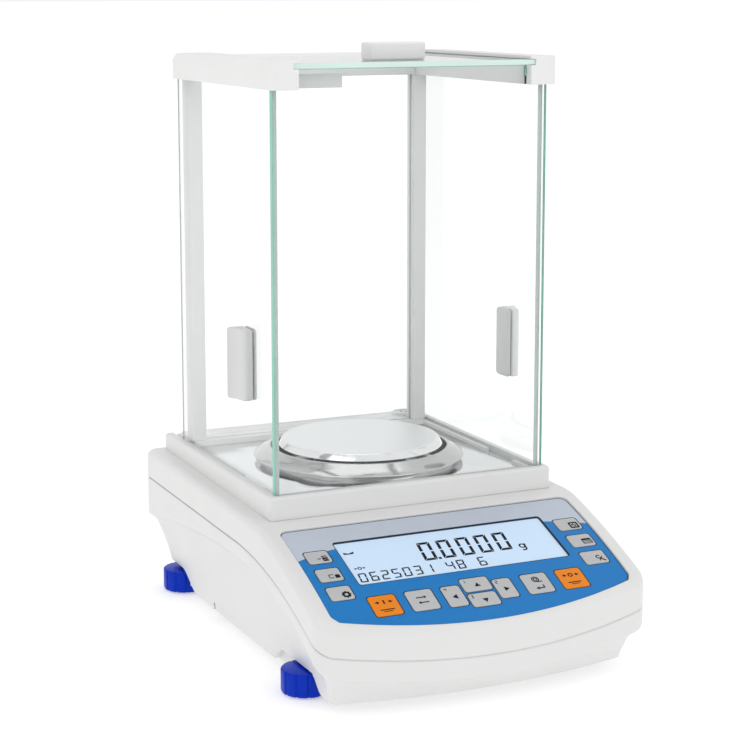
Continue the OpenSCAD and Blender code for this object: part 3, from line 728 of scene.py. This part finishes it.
def build_lower_shell():
    """Lower housing: outer band, soft crease, inclined skirt with foot bays, floor and rear sockets."""
    def ring(d, f, height):
        return [(x, y, height(x, y)) for x, y in body_outline(d, f)]

    def top(x, y):
        return seam(y) - SEAM_GAP

    rings = [ring(WALL, 0, top), ring(0.5, 0, top), ring(0, 0, lambda x, y: top(x, y) - 0.5),
             ring(0, 0, lambda x, y: (top(x, y) + crease(y)) / 2)]
    for d, drop in ((0, -1.7), (0.25, -0.8), (0.8, -0.15), (1.5, 0.3), (2.8, 1.3), (4.1, 2.6), (4.9, 3.8)):
        rings.append(ring(d, 0, lambda x, y, drop=drop: crease(y) - drop))
    low_inset = SKIRT_INSET - 0.4
    for t in (0, 0.1, 0.22, 0.36, 0.5, 0.64, 0.78, 0.9, 1.0):
        d = CREASE_STEP + (low_inset - CREASE_STEP) * (t + 0.07 * math.sin(math.pi * t))

        def height(x, y):
            return (crease(y) - CREASE_DROP) * (1 - t) + (edge_height(x, y) + 1.1) * t

        rings.append(ring(d, SKIRT_FRONT * t, height))
    for inset, rise in ((0.05, 0.6), (0.35, 0.2), (1.0, 0.0)):
        rings.append(ring(low_inset + inset, SKIRT_FRONT, lambda x, y, rise=rise: edge_height(x, y) + rise))
    rings.append(ring(SKIRT_INSET + WALL, SKIRT_FRONT, edge_height))
    rings.append(ring(SKIRT_INSET + WALL + 0.3, SKIRT_FRONT, lambda x, y: SKIRT_Z))
    outside = loft(rings, False, True)
    rings = [ring(WALL, 0, top), ring(WALL, 0, lambda x, y: crease(y) + 1),
             ring(CREASE_STEP + WALL, 0, lambda x, y: crease(y) - 4),
             ring(SKIRT_INSET + WALL - 0.7, SKIRT_FRONT, lambda x, y: 19),
             ring(SKIRT_INSET + WALL + 0.8, SKIRT_FRONT, lambda x, y: SKIRT_Z + WALL)]
    points, faces, slots = join([(*outside, 0), (*loft(rings, False, True), 0)])
    shell = new_object("lower_shell", points, faces, [WHITE], slots)
    cutters = []
    for node in ("dc_inlet", "usb_port", "serial_port"):
        low, high = extent(node)
        cutters.append(box_part(low.x - SOCKET_GAP, high.x + SOCKET_GAP, REAR_Y - 8, REAR_Y + 1,
                                low.z - SOCKET_GAP, high.z + SOCKET_GAP))
    for side in (-1, 1):
        for foot in (FOOT_FRONT, FOOT_REAR):
            cutters.append(disc_part(side * foot.x, foot.y, POCKET_R, -1, POCKET_TOP))
        for x, y in SCREW_SPOTS:
            cutters.append(disc_part(side * x, y, SCREW_BORE_R, -1, SKIRT_Z + 5, 32))
    cut(shell, cutters, 32)
    place(shell, "root", "housing_white", "base_housing")


# ---------------------------------------------------------------- weighing chamber

def frame_cutters(low, top):
    """Seats cut out of the chamber frame. Each cutter ends at its own height, so that no faces coincide."""
    floor_low, floor_high = extent("floor_plate")
    pane_low, pane_high = extent("rear_glass")
    level_low, level_high = extent("spirit_level")
    level = (level_low + level_high) / 2
    groove_z = pane_low.z
    over = 110
    cutters = [box_part(-80.5, 80.5, floor_low.y - 0.2, floor_high.y + 0.3, floor_low.z, over),
               box_part(FRONT_LOW.x, FRONT_HIGH.x, FRONT_LOW.y, FRONT_HIGH.y + 0.2, groove_z, over + 0.2),
               box_part(pane_low.x, pane_high.x, pane_low.y, pane_high.y, groove_z, over + 0.3),
               box_part(-76, 76, -22, 112, low - 1, groove_z - 1),
               disc_part(0, PAN_Y, PAN_BORE, 80, over + 0.4),
               disc_part(level.x, level.y, level_high.x - level.x + 0.1, top - 4, over + 0.5)]
    for side in (-1, 1):
        groove = sorted((side * (DOOR_LOW.x - 0.3), side * (DOOR_HIGH.x + 0.3)))
        rib = sorted((side * 80, side * 84))
        cutters.append(box_part(*groove, DOOR_LOW.y - 0.3, 160, groove_z, over + 0.6))
        cutters.append(box_part(*rib, DOOR_LOW.y - 0.2, 160, 99.8, over + 0.8))
        cutters.append(box_part(*rib, -6.5, 28.5, FLOOR_Z - 1, over + 0.7))
    for y in (131, 144):
        cutters.append(box_part(-66, 60, y, y + 0.8, top - 0.6, over + 1))
    return cutters


def build_chamber_frame():
    """Frame round the chamber floor, with a rounded top edge, door grooves, inner ribs and their notches."""
    front, rear, low, top = FRAME_LOW.y, FRAME_HIGH.y, FRAME_LOW.z, FRAME_HIGH.z

    def ring(inset, z):
        half_w = FRAME_HIGH.x - inset
        outline = rounded_rect(-half_w, half_w, front + inset, rear - inset, 2.5 - min(inset, 1.5), 8)
        return at_height(outline, z)

    rings = [ring(0.35, low), ring(0, low + 0.35)]
    rings += [ring(inset, top - drop) for inset, drop in rounding(2.2, 7)]
    body = new_object("chamber_frame_finish", *loft(rings, True, True), [WHITE])
    cut(body, frame_cutters(low, top))
    round_edges(body, 0.28, 2, 50)
    place(body, "root", "housing_white", "chamber_frame")


def build_glass(node, body, edge):
    """A pane whose broad faces are clear and whose ground edges are tinted green or pale and carry a painted
    glow.
    """
    obj = copy_node(node, node + "_pane", [GLASS, edge])
    low, high = extent(node)
    size = high - low
    thin = min(range(3), key=lambda axis: size[axis])
    ground = bmesh.new()
    ground.from_mesh(obj.data)
    bmesh.ops.bevel(ground, geom=list(ground.edges), offset=0.25 * MM, segments=1,
                    affect="EDGES", clamp_overlap=True)
    for face in ground.faces:
        face.material_index = 0 if abs(face.normal[thin]) > 0.99 else 1
    ground.to_mesh(obj.data)
    ground.free()
    finish_mesh(obj, 20)
    place(obj, body, "glass", node)


def build_clip():
    """Clip that holds the front glass under the rail, a hair's breadth behind the pane."""
    low, high = extent("glass_clips")
    block = rounded_block(low.x, high.x, low.y + 0.25, high.y, low.z, high.z, 0.9, 0.6, 3)
    place(new_object("glass_clip", *block, [TRIM]), "root", "trim_white", "glass_clips")


def build_spirit_level():
    """Round level with a raised lip, pale liquid with a painted glow, its bubble and the centring ring."""
    low, high = extent("spirit_level")
    cx, cy, r, top = (low.x + high.x) / 2, (low.y + high.y) / 2, (high.x - low.x) / 2, high.z
    cup = [(0, low.z), (r, low.z)]
    cup += steps_from(r, top, ((0, -0.7), (-0.3, -0.2), (-0.8, 0), (-1.5, 0), (-2, -0.4), (-2, -1.2)))
    cup += [(0, top - 1.2)]
    liquid = steps_from(r, top, ((-r, -1.15), (-2.05, -1.15), (-2.05, -0.75), (-3, -0.5), (-r, -0.3)))
    ring = steps_from(0, top, ((2.3, -0.5), (2.6, -0.5), (2.6, -0.27), (2.3, -0.25), (2.3, -0.5)))
    bubble = steps_from(0, top, ((0, -0.5), (1.8, -0.5), (1.6, -0.25), (0.9, -0.12), (0, -0.08)))
    parts = [(*lathe(cup, cx, cy, 72), 0), (*lathe(liquid, cx, cy, 72), 1), (*lathe(ring, cx, cy, 72), 2),
             (*lathe(bubble, cx + 0.3, cy + 0.2, 48), 3)]
    build_piece(parts, [LEVEL_BODY, LEVEL_LIQUID_PAINTED_GLOW, INK, LEVEL_BODY], 38, "root", "level", "spirit_level")


# ---------------------------------------------------------------- pan and draft ring

def build_pan():
    """Round pan: satin top, polished bevel and a rolled lower edge."""
    r, top = PAN_HIGH.x, PAN_HIGH.z
    upper = [(0, top)] + steps_from(r, top, ((-4, 0), (-3, -0.02)))
    bevel = steps_from(r, top, ((-3, -0.02), (-2.5, -0.15), (-2.05, -0.55), (-0.25, -3.5), (-0.02, -3.9),
                                (-0.1, -4.1), (-0.6, -4.25), (-1.6, -4.1), (-3.6, -2.1)))
    parts = [(*lathe(upper, 0, PAN_Y, 200), 0), (*lathe(bevel + [(0, top - 2)], 0, PAN_Y, 200), 1)]
    build_piece(parts, [PAN_TOP, PAN_RIM], 30, "pan", "pan_steel", "pan")


def build_pan_support():
    """Turned carrier under the pan, with the socket for the hanger's pin."""
    low, high = extent("pan_support")
    pin_r, pin_top = 4.05, low.z + 5.1
    socket = [(pin_r, low.z), (pin_r, pin_top), (0, pin_top)]
    outer = [(pin_r, low.z), (7.2, low.z), (8, low.z + 0.8)]
    outer += steps_from(0, high.z, ((8, -3.2), (10.5, -1.6), (29, -1.6), (30, -1.2), (30, -0.4),
                                    (29.6, 0), (0, 0)))
    parts = [(*lathe(profile, 0, PAN_Y, 96), 0) for profile in (socket, outer)]
    build_piece(parts, [PAN_RIM], 30, "pan", "pan_steel", "pan_support")


def build_draft_ring():
    """Spun ring round the pan: collar, rolled crest, conical skirt, turned-down lip and an inside painted
    near black as shade.
    """
    r = RING_HIGH.x
    top = RING_HIGH.z - 1.1
    foot = FLOOR_Z
    lip_z = foot + 3.6
    outside = [(57.05, foot), (58.15, foot), (58.2, foot + 0.2), (58.2, lip_z - 0.3), (58.5, lip_z)]
    outside += steps_from(r, lip_z, ((-0.45, 0), (-0.1, 0.15), (0, 0.5), (-0.12, 0.85), (-0.5, 1.15),
                                     (-4.5, 4.05)))
    outside += steps_from(0, top, ((56.6, -1.25), (55.6, -0.45), (54.9, -0.1), (54.4, 0), (53.9, -0.15),
                                   (53.55, -0.6)))
    inside_wall = steps_from(0, top, ((53.55, -0.6), (53.5, -1.3), (53.9, -1.6), (54.8, -1.7), (56.9, -3.6)))
    inside_wall += [(57.05, foot)]
    parts = [(*lathe(outside, 0, PAN_Y, 220), 0), (*lathe(inside_wall, 0, PAN_Y, 220), 1)]
    build_piece(parts, [RING_STEEL, RING_INSIDE_PAINTED_SHADE], 34, "draft_ring", "ring_steel", "draft_ring")


# ---------------------------------------------------------------- handles

def handle_outline(d):
    """Plan of a door handle's outer block, (out, back) from the pane and the front, shrunk by d."""
    points = [(0, 0.5), (0.5, 0)] + arc(3.2, 2.6, 2.6, -90, -20, 6)
    points += [(6.1, 3.0), (6.35, 5.0), (6.7, 7.2), (7.3, 9.4), (8.1, 11.4), (9.0, 13.0), (9.9, 14.0)]
    points += arc(9.3, 14.8, 1.2, -20, 90, 5) + [(0.4, 16.0), (0, 15.6)]
    cx, cy = 4.2, 8.5
    return [(cx + (u - cx) * (1 - d / 5.2), cy + (v - cy) * (1 - d / 8.0)) for u, v in points]


def build_door_handle(side, name):
    """Two-piece door handle: a scooped grip outside the pane and a thin plate inside it, in a darker white
    that is painted shade.
    """
    low, high = extent(name + "_handle")
    pane_low, pane_high = extent(name + "_glass")
    outer_face = pane_high.x if side > 0 else -pane_low.x
    inner_face = pane_low.x if side > 0 else -pane_high.x
    grip = [[(side * (outer_face + u), low.y + v, z) for u, v in handle_outline(d)]
            for d, z in soft_levels(low.z, high.z, 1.6, 5)]
    back = []
    for d, lift in ((0, 0), (0, 0.8), (0.25, 1.2), (0.8, 1.5)):
        outline = rounded_rect(low.y + d, high.y - d, low.z + d, high.z - d, 2.6 - d, 6)
        back.append([(side * (inner_face - lift), y, z) for y, z in outline])
    parts = [(*loft(rings, True, True), 0) for rings in (grip, back)]
    build_piece(parts, [HANDLE_PAINTED_SHADE], 30, name, "handle_white", name + "_handle")


def build_top_handle():
    """Rounded block on the top pane, with a thin plate under it, in a lighter white that is painted light.
    """
    low, high = extent("top_door_handle")
    pane_low, pane_high = extent("top_door_glass")
    block = rounded_block(low.x, high.x, low.y, high.y, pane_high.z, high.z, 1.6, 1.5, 5)
    under = rounded_block(low.x, high.x, low.y, high.y, low.z, pane_low.z, 1.5, 0.4, 2)
    parts = [(*block, 0), (*under, 0)]
    build_piece(parts, [HANDLE_TOP_PAINTED_LIGHT], 30, "top_door", "handle_white", "top_door_handle")


# ---------------------------------------------------------------- feet

def build_knob(name):
    """Fluted blue knob with its stud, bored from below for the sole."""
    low, high = extent("foot_knob_" + name)
    cx, cy = (low.x + high.x) / 2, (low.y + high.y) / 2
    n = FLUTES * FLUTE_STEPS
    profile = [(KNOB_BORE, low.z)] + steps_from(KNOB_R, low.z, ((-1.4, 0), (-0.5, 0.35), (0, 1.3)))
    profile += steps_from(KNOB_R, KNOB_H, ((0, -0.9), (-0.25, -0.3), (-0.9, 0)))
    profile += [(STUD_R, KNOB_H), (STUD_R, high.z - 0.5), (STUD_R - 0.4, high.z), (0, high.z)]
    rings = []
    for r, z in profile:
        share = clamp(r - (KNOB_R - 2.4))
        ring = []
        for i in range(n):
            a = 2 * math.pi * i / n
            off = (i % FLUTE_STEPS - FLUTE_STEPS / 2) * 2 * math.pi / n * KNOB_R
            depth = share * max(math.sqrt(max(FLUTE_R ** 2 - off * off, 0)) - 0.5, 0)
            ring.append((cx + (r - depth) * math.cos(a), cy + (r - depth) * math.sin(a), z))
        rings.append(ring)
    bore = [(KNOB_BORE, low.z), (KNOB_BORE, 3.5), (3.05, 3.5), (3.05, 6.4), (0, 6.4)]
    parts = [(*loft(rings), 0), (*lathe(bore, cx, cy, n), 0)]
    node = "foot_knob_" + name
    build_piece(parts, [FOOT_BLUE], 28, node, "foot_blue", node, "foot_knob_finish_" + name)


def build_sole(name):
    """Rubber sole on its pin, inside the knob."""
    low, high = extent("foot_sole_" + name)
    cx, cy, r = (low.x + high.x) / 2, (low.y + high.y) / 2, (high.x - low.x) / 2
    profile = [(0, 0)] + steps_from(r, 0, ((-0.8, 0), (-0.2, 0.25), (0, 0.8), (0, 1.9), (-0.4, 2.3)))
    profile += [(3, 2.3), (3, high.z - 0.4), (2.6, high.z), (0, high.z)]
    node = "foot_sole_" + name
    parts = [(*lathe(profile, cx, cy, 96), 0)]
    build_piece(parts, [RUBBER], 38, node, "sole_rubber", node, "foot_sole_finish_" + name)


# ---------------------------------------------------------------- keypad film and keys

SIDE_S = (27.9, 44.5, 60.7)
ROW_S = 75
KEYS = {
    "mode": (-80, SIDE_S[0], 7, 5.6), "cal": (-80, SIDE_S[1], 7, 5.6), "setup": (-80, SIDE_S[2], 7, 5.6),
    "power": (80.3, SIDE_S[0], 7.6, 5.6), "database": (80.3, SIDE_S[1], 7.6, 5.6),
    "function": (80.3, SIDE_S[2], 7.6, 5.6), "tare": (-59.2, ROW_S, 8.1, 8), "units": (-36.8, ROW_S, 8.1, 8),
    "left": (-17.4, 75.6, 5.7, 8.2), "up": (-1, 68.8, 8.6, 5.4), "down": (-1.4, 81.2, 8.6, 5.2),
    "right": (14.8, ROW_S, 5.6, 7.8), "print": (35.2, ROW_S, 8.1, 8), "zero": (57.8, ROW_S, 8.1, 8),
}
ARROWS = {"up": (1, 0, -1), "right": (2, 1, 0), "down": (3, 0, 1), "left": (4, -1, 0)}     # number, x, s


def key_outline(name, grow=0.0):
    """Outline of a key in (x, s), grown outwards."""
    x, s, w, h = KEYS[name]
    corner = KEY_CORNER + max(grow, 0) * 0.8
    return rounded_rect(x - w - grow, x + w + grow, s - h - grow, s + h + grow, corner)


def tone_edge(x):
    """Where the grey band gives way to blue, s down the slope at a place across the film."""
    return 22.0 + 7.6 * (max(abs(x) - WINDOW_HALF_W, 0) / 27) ** 1.25


def build_film():
    """Keypad film: grey band over blue, dark printed outlines, and openings for the window and keys."""
    outer = film_outline()
    border = film_outline(-0.45)
    window = window_outline()
    window_border = window_outline(0.55)
    holes = [window] + [key_outline(name, KEY_GAP) for name in KEYS]
    rims = [key_outline(name, KEY_GAP + 0.42) for name in KEYS]
    lines = [loop + loop[:1] for loop in [border, window_border] + rims]
    across = np.linspace(WINDOW_HALF_W + 0.2, FILM_HALF_W + 0.3, 30)
    for side in (-1, 1):
        lines.append([(side * x, tone_edge(x)) for x in across])

    def face_slot(x, s):
        point = [(x, s)]
        if not inside(point, border)[0] or inside(point, window_border)[0]:
            return 2
        if any(inside(point, loop)[0] for loop in rims):
            return 2
        return 1 if s < tone_edge(x) else 0

    points, faces, slots = plate(outer, holes, lines, 4.5, lambda x, s: on_panel(x, s, bow(s)),
                                 lambda x, s: on_panel(x, s, bow(s) - FILM_T + 0.02), face_slot)
    obj = new_object("keypad_film_finish", points, faces, [FILM_BLUE, FILM_GREY, FILM_LINE], slots, 30)
    place(obj, "root", "film_blue", "keypad_film")


def bar(x0, s0, x1, s1, width):
    """Straight printed stroke between two points."""
    dx, ds = x1 - x0, s1 - s0
    length = math.hypot(dx, ds) or 1
    half = width * INK_WEIGHT / 2
    nx, ns = -ds / length * half, dx / length * half
    return [(x0 + nx, s0 + ns), (x1 + nx, s1 + ns), (x1 - nx, s1 - ns), (x0 - nx, s0 - ns)]


def strokes(points, width):
    """Printed line through several points, with square joints."""
    pieces = [bar(*a, *b, width) for a, b in zip(points, points[1:])]
    for x, s in points[1:-1]:
        pieces.append(arc(x, s, width / 2, 0, 330, 11))
    return pieces


def ring_marks(cx, cs, r, width, start=0, end=360, n=20):
    """Printed circle or part of one."""
    path = arc(cx, cs, r, start, end, n)
    return [bar(*a, *b, width) for a, b in zip(path, path[1:])]


def arrow(x, s, length, heading, head=1.6, width=0.5):
    """Small arrow pointing along heading, -1 left or 1 right, with its tip at x."""
    tail = x - heading * length
    neck = x - heading * head
    return [bar(tail, s, neck, s, width), [(neck, s - head * 0.75), (x, s), (neck, s + head * 0.75)]]


SEGMENTS = {0: "abcdef", 1: "bc", 2: "abged", 3: "abgcd", 4: "fgbc", 5: "afgcd", 6: "afgedc", 8: "abcdefg"}


def digit(value, x, s, w, h, width, slant=0.0):
    """Seven-segment figure with its upper left corner at (x, s)."""
    gap, half, mid = width * 0.16, width / 2, h / 2
    top = [(gap, 0), (w - gap, 0), (w - width, width), (width, width)]
    left = [(0, gap), (width, width + gap), (width, mid - half * 0.6), (0, mid - gap * 1.6)]
    middle = [(gap + half, mid), (width, mid - half), (w - width, mid - half),
              (w - gap - half, mid), (w - width, mid + half), (width, mid + half)]

    def flip(shape, across, down):
        return [(w - px if across else px, h - ps if down else ps) for px, ps in shape]

    shapes = {"a": top, "b": flip(left, True, False), "c": flip(left, True, True),
              "d": flip(top, False, True), "e": flip(left, False, True), "f": left, "g": middle}
    return [[(x + px + slant * (1 - ps / h), s + ps) for px, ps in shapes[name]] for name in SEGMENTS[value]]


def moved(marks, x, s):
    """Printed marks brought to (x, s)."""
    return [[(px + x, ps + s) for px, ps in mark] for mark in marks]


def gear(r):
    """Gear wheel with eight teeth."""
    marks = ring_marks(0, 0, r * 0.62, r * 0.36)
    for k in range(8):
        c, s = math.cos(math.radians(45 * k)), math.sin(math.radians(45 * k))
        marks.append(bar(c * r * 0.7, s * r * 0.7, c * r, s * r, r * 0.34))
    return marks


def side_icon(name):
    """Icon of a small side key, round the icon's own middle."""
    if name == "mode":
        marks = arrow(-1.8, 0, 2.4, 1, 1.0, 0.4) + [bar(-0.8, -2.3, -0.8, 2.3, 0.4)]
        return marks + [bar(-0.6, s, 2.2, s, width) for s, width in ((-1.9, 0.6), (0, 1.2), (1.9, 1.2))]
    if name == "cal":
        block = [(-0.2, 1.8), (-0.2, -0.6), (0.8, -1.4), (2.6, -0.9), (2.6, 1.8)]
        hook = strokes([(-3.6, 1.2), (-3.6, -1.4), (-0.8, -1.4)], 0.45)
        return [block] + hook + [bar(-3.6, 1.3, -1.2, 1.3, 0.45)]
    if name == "setup":
        return gear(2.7)
    if name == "power":
        frame_line = strokes([(-2.4, -2.4), (2.4, -2.4), (2.4, 2.4), (-2.4, 2.4), (-2.4, -2.4)], 0.9)
        return frame_line + ring_marks(0, 0.1, 1.15, 0.45, -60, 240) + [bar(0, -1.7, 0, 0, 0.45)]
    if name == "database":
        rows = [bar(-2.6, s, 3, s, 0.35) for s in (-0.4, 0.7, 1.8)]
        sides = [bar(x, -1.4, x, 1.9, 0.4) for x in (-2.7, 2.9)]
        return rows + sides + [bar(-3, -2, 3, -2, 1.3)]
    head = ring_marks(-0.8, -1.4, 1.3, 0.55, 30, 330)
    return head + [bar(-0.2, -0.4, 2.6, 2.3, 0.8), bar(1.6, -1.6, -1.2, 1.9, 0.5)]


def arrow_icon(name, w, h):
    """Triangle towards the key's own side, with a small number in the upper left corner."""
    number, out, down = ARROWS[name]
    cx, cs = (0.6 if w > 7 else 0.3), 0.8
    size, back = 1.9, 1.2
    triangle = [(cx + out * size, cs + down * size),
                (cx - out * back + down * size, cs - down * back + out * size),
                (cx - out * back - down * size, cs - down * back - out * size)]
    return [triangle] + digit(number, 1.5 - w, 1.2 - h, 1.5, 2.5, 0.42)


def wide_icon(name):
    """Icon of a wide key, round the key's middle."""
    if name == "units":
        return arrow(3.2, -2, 6.4, 1, 1.5, 0.55) + arrow(-3.2, 2, 6.4, -1, 1.5, 0.55)
    if name == "print":
        marks = ring_marks(0, -3, 2, 0.5) + ring_marks(0, -3, 1, 0.45) + [bar(0, -1, 3.6, -1, 0.5)]
        marks += strokes([(2.6, 2), (2.6, 4.2), (-0.8, 4.2)], 0.6)
        return marks + [[(-0.6, 3), (-2.8, 4.2), (-0.6, 5.4)]]
    marks = arrow(-2.6, -2.6, 2.6, 1) + arrow(2.6, -2.6, 2.6, -1)
    marks += ring_marks(0, -2.6, 1.25, 0.55) if name == "zero" else [bar(0, -4.1, 0, -1.1, 0.75)]
    return marks + [bar(-4.2, 3.4, 4.2, 3.4, 0.55), bar(-2.6, 4.8, 2.6, 4.8, 0.4)]


def key_marks(name):
    """Generic icons of a key, as flat polygons in (x, s)."""
    x, s, w, h = KEYS[name]
    if name in ARROWS:
        return moved(arrow_icon(name, w, h), x, s)
    if s in SIDE_S:
        return moved(side_icon(name), x + w * 0.42, s + h * 0.3)
    return moved(wide_icon(name), x, s)


def printed(polygons, low, high):
    """Thin raised marks over the panel: points and faces. low and high give their heights at (x, s)."""
    parts = []
    for polygon in polygons:
        rings = [[on_panel(x, s, level(s)) for x, s in polygon] for level in (low, high)]
        parts.append((*loft(rings, True, True), 0))
    points, faces, _ = join(parts)
    return points, faces


def build_key(name):
    """Embossed key cap with soft edges and its icon."""
    rings = []
    for grow, rise in ((0, -0.6), (0, 0.0), (-0.08, 0.13), (-0.25, 0.23), (-0.5, KEY_RISE - 0.03)):
        rings.append([on_panel(x, s, bow(s) + rise) for x, s in key_outline(name, grow)])
    cap = loft(rings, True, True)
    ink = printed(key_marks(name), lambda s: bow(s) + KEY_RISE - 0.1, lambda s: bow(s) + KEY_RISE)
    tone, slot = (KEY_ORANGE, "key_orange") if name in ("tare", "zero") else (KEY_GREY, "key_grey")
    key = "key_" + name
    build_piece([(*cap, 0), (*ink, 1)], [tone, INK], 25, key, slot, key)


# ---------------------------------------------------------------- display

LCD_RISE = bow(WINDOW_TOP) - LCD_SINK
LCD_SLOPE = (bow(WINDOW_BOTTOM) - bow(WINDOW_TOP)) / (WINDOW_BOTTOM - WINDOW_TOP)


def lcd_height(s):
    """Height of the display's face over the panel's chord."""
    return LCD_RISE + LCD_SLOPE * (s - WINDOW_TOP)


def display_marks():
    """Reading, unit, stability and zero marks, and a second line of small figures."""
    marks = []
    for x in (-19.7, -7.7, 4.5, 16.5, 28.5):
        marks += digit(0, x, 25.5, 8.1, 16.8, 1.9, 1.4)
    marks.append([(-10.9, 40.6), (-9.1, 40.6), (-9.1, 42.4), (-10.9, 42.4)])
    line = (0, 6, 2, 5, 0, 3, 1, None, 4, 8, None, 6)
    for k, value in enumerate(line):
        if value is not None:
            marks += digit(value, -64.2 + 6.75 * k, 45.4, 4.8, 8.1, 1.0, 0.8)
    marks.append([(-3.4, 52.4), (-2.4, 52.4), (-2.4, 53.5), (-3.4, 53.5)])
    marks += ring_marks(43.4, 40.5, 1.65, 0.8)
    marks += strokes([(45.4, 38.6), (44.9, 43.5), (44.1, 44.4), (41.9, 44.4)], 0.8)
    marks.append([(-63.9, 25.4), (-60.6, 26.7), (-60.8, 27.6), (-63.6, 27.3)])
    marks.append([(-57.4, 25.4), (-60.6, 26.7), (-60.4, 27.6), (-57.6, 27.3)])
    marks += arrow(-61.4, 40.9, 1.9, 1, 1.2, 0.5) + arrow(-58.4, 40.9, 1.9, -1, 1.2, 0.5)
    marks += ring_marks(-59.9, 40.9, 1.0, 0.5)
    return marks


def build_display():
    """Display module: a lit face with black segments on it."""
    def face(grow, rise):
        half_w = WINDOW_HALF_W + grow
        outline = rounded_rect(-half_w, half_w, WINDOW_TOP - grow, WINDOW_BOTTOM + grow, 1.2)
        return [on_panel(x, s, lcd_height(s) + rise) for x, s in outline]

    glass = loft([face(-0.3, -6), face(-0.3, -0.2), face(-0.45, 0)], True, True)
    ink = printed(display_marks(), lambda s: lcd_height(s) - 0.1, lambda s: lcd_height(s) + 0.03)
    parts = [(*glass, 0), (*ink, 1)]
    build_piece(parts, [LCD_FACE, INK], 25, "root", "display", "lcd_module", "display_finish")


# ---------------------------------------------------------------- build

build_upper_shell()
build_lower_shell()
build_chamber_frame()
soften("floor_plate", "root", "floor_steel", FLOOR_STEEL, 0.3, 2, 50)
for node in ("left_post", "right_post"):
    soften(node, "root", "trim_white", TRIM, 0.8, 3)
for node in ("left_rail", "right_rail", "rear_rail"):
    soften(node, "root", "trim_white", TRIM, 0.9, 3)
build_clip()
build_glass("front_glass", "root", GLASS_EDGE_PAINTED_GLOW)
build_glass("rear_glass", "root", GLASS_EDGE_PALE_PAINTED_GLOW)
build_glass("left_door_glass", "left_door", GLASS_EDGE_PALE_PAINTED_GLOW)
build_glass("right_door_glass", "right_door", GLASS_EDGE_PALE_PAINTED_GLOW)
build_glass("top_door_glass", "top_door", GLASS_EDGE_TOP_PAINTED_GLOW)
build_spirit_level()
build_pan()
build_pan_support()
build_draft_ring()
build_door_handle(-1, "left_door")
build_door_handle(1, "right_door")
build_top_handle()
for foot in ("front_left", "front_right", "rear_left", "rear_right"):
    build_knob(foot)
    build_sole(foot)
build_film()
for key in KEYS:
    build_key(key)
build_display()

soften("dc_inlet", "root", "connector_black", CONNECTOR_BLACK, 0.3)
soften("usb_port", "root", "connector_steel", CONNECTOR_STEEL, 0.2)
soften("serial_port", "root", "connector_steel", CONNECTOR_STEEL, 0.25)
soften("housing_screws", "root", "screw_steel", SCREW_STEEL, 0.25)
INNER = {"chassis_plate": ALUMINIUM, "cell_frame": ALUMINIUM, "hanger": ALUMINIUM, "beam": ALUMINIUM,
         "key_board": BOARD, "main_board": BOARD, "magnet": MAGNET, "coil": COPPER,
         "calibration_weight": WEIGHT_STEEL}
for node, material in INNER.items():
    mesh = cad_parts[node].data
    mesh.materials.clear()
    mesh.materials.append(material)
    mesh.polygons.foreach_set("material_index", [0] * len(mesh.polygons))


# ---------------------------------------------------------------- stage, light and camera

def build_stage():
    """Plain pale floor, wide enough to reach the horizon of the view, under an even studio sky."""
    half = 60000
    points = [(-half, -half, 0), (half, -half, 0), (half, half, 0), (-half, half, 0)]
    paper = glow(moulded("stage_white", (0.72, 0.72, 0.72), 0.85, 40, 0, 0.0), (1, 1, 1), 0.42)
    set_inputs(paper.node_tree.nodes["Principled BSDF"], {"Specular IOR Level": 0})
    new_object("floor_stage", points, [(0, 1, 2, 3)], [paper])
    world = bpy.data.worlds.new("studio")
    bpy.context.scene.world = world
    world.use_nodes = True
    tree = world.node_tree
    direction = add_node(tree, "TexCoord", "Generated", {})
    patch = Vector((-0.30, -0.88, 0.36)).normalized()
    toward = add_node(tree, "VectorMath", "Value", {0: direction, 1: patch}, "DOT_PRODUCT")
    sky = blend_colours(tree, toward, (SKY, SKY, SKY), DARK_PATCH)
    first, second = sky.node.color_ramp.elements
    first.position, second.position = 0.93, 0.99
    set_inputs(tree.nodes["Background"], {"Color": sky, "Strength": 1})


def add_light(name, location, target, size, power):
    """Soft rectangular lamp aimed at a point, all in millimetres."""
    data = bpy.data.lights.new(name, "AREA")
    data.shape = "RECTANGLE"
    data.size, data.size_y = size[0] * MM, size[1] * MM
    data.energy = power
    lamp = bpy.data.objects.new(name, data)
    bpy.context.scene.collection.objects.link(lamp)
    spot, aim = (Vector(location) - SHIFT) * MM, (Vector(target) - SHIFT) * MM
    lamp.location = spot
    lamp.rotation_euler = (aim - spot).to_track_quat("-Z", "Y").to_euler()


def build_camera():
    """Camera at the view's angle: turned to the balance's left front and a little above it."""
    azimuth, elevation = math.radians(-25.06), math.radians(9.09)
    back = Vector((math.sin(azimuth) * math.cos(elevation), -math.cos(azimuth) * math.cos(elevation),
                   math.sin(elevation)))
    right = (-back).cross(Vector((0, 0, 1))).normalized()
    up = back.cross(right)
    data = bpy.data.cameras.new("camera")
    data.lens = 93.2
    data.shift_y = -0.1
    data.sensor_width = 36
    data.clip_start, data.clip_end = 0.05, 200
    camera = bpy.data.objects.new("camera", data)
    bpy.context.scene.collection.objects.link(camera)
    matrix = Matrix((right, up, back)).transposed().to_4x4()
    matrix.translation = (Vector((-492.7, -1033.3, 387.6)) - SHIFT) * MM
    camera.matrix_world = matrix
    bpy.context.scene.camera = camera


build_stage()
centre = (0, 20, 150)
add_light("key_light", (-1100, -700, 1300), centre, (900, 900), 2.2)
add_light("fill_light", (700, -1500, 800), centre, (900, 900), 2.2)
add_light("top_light", (0, 400, 1700), centre, (1500, 500), 1.5)
build_camera()
bpy.context.scene.view_settings.view_transform = "Standard"
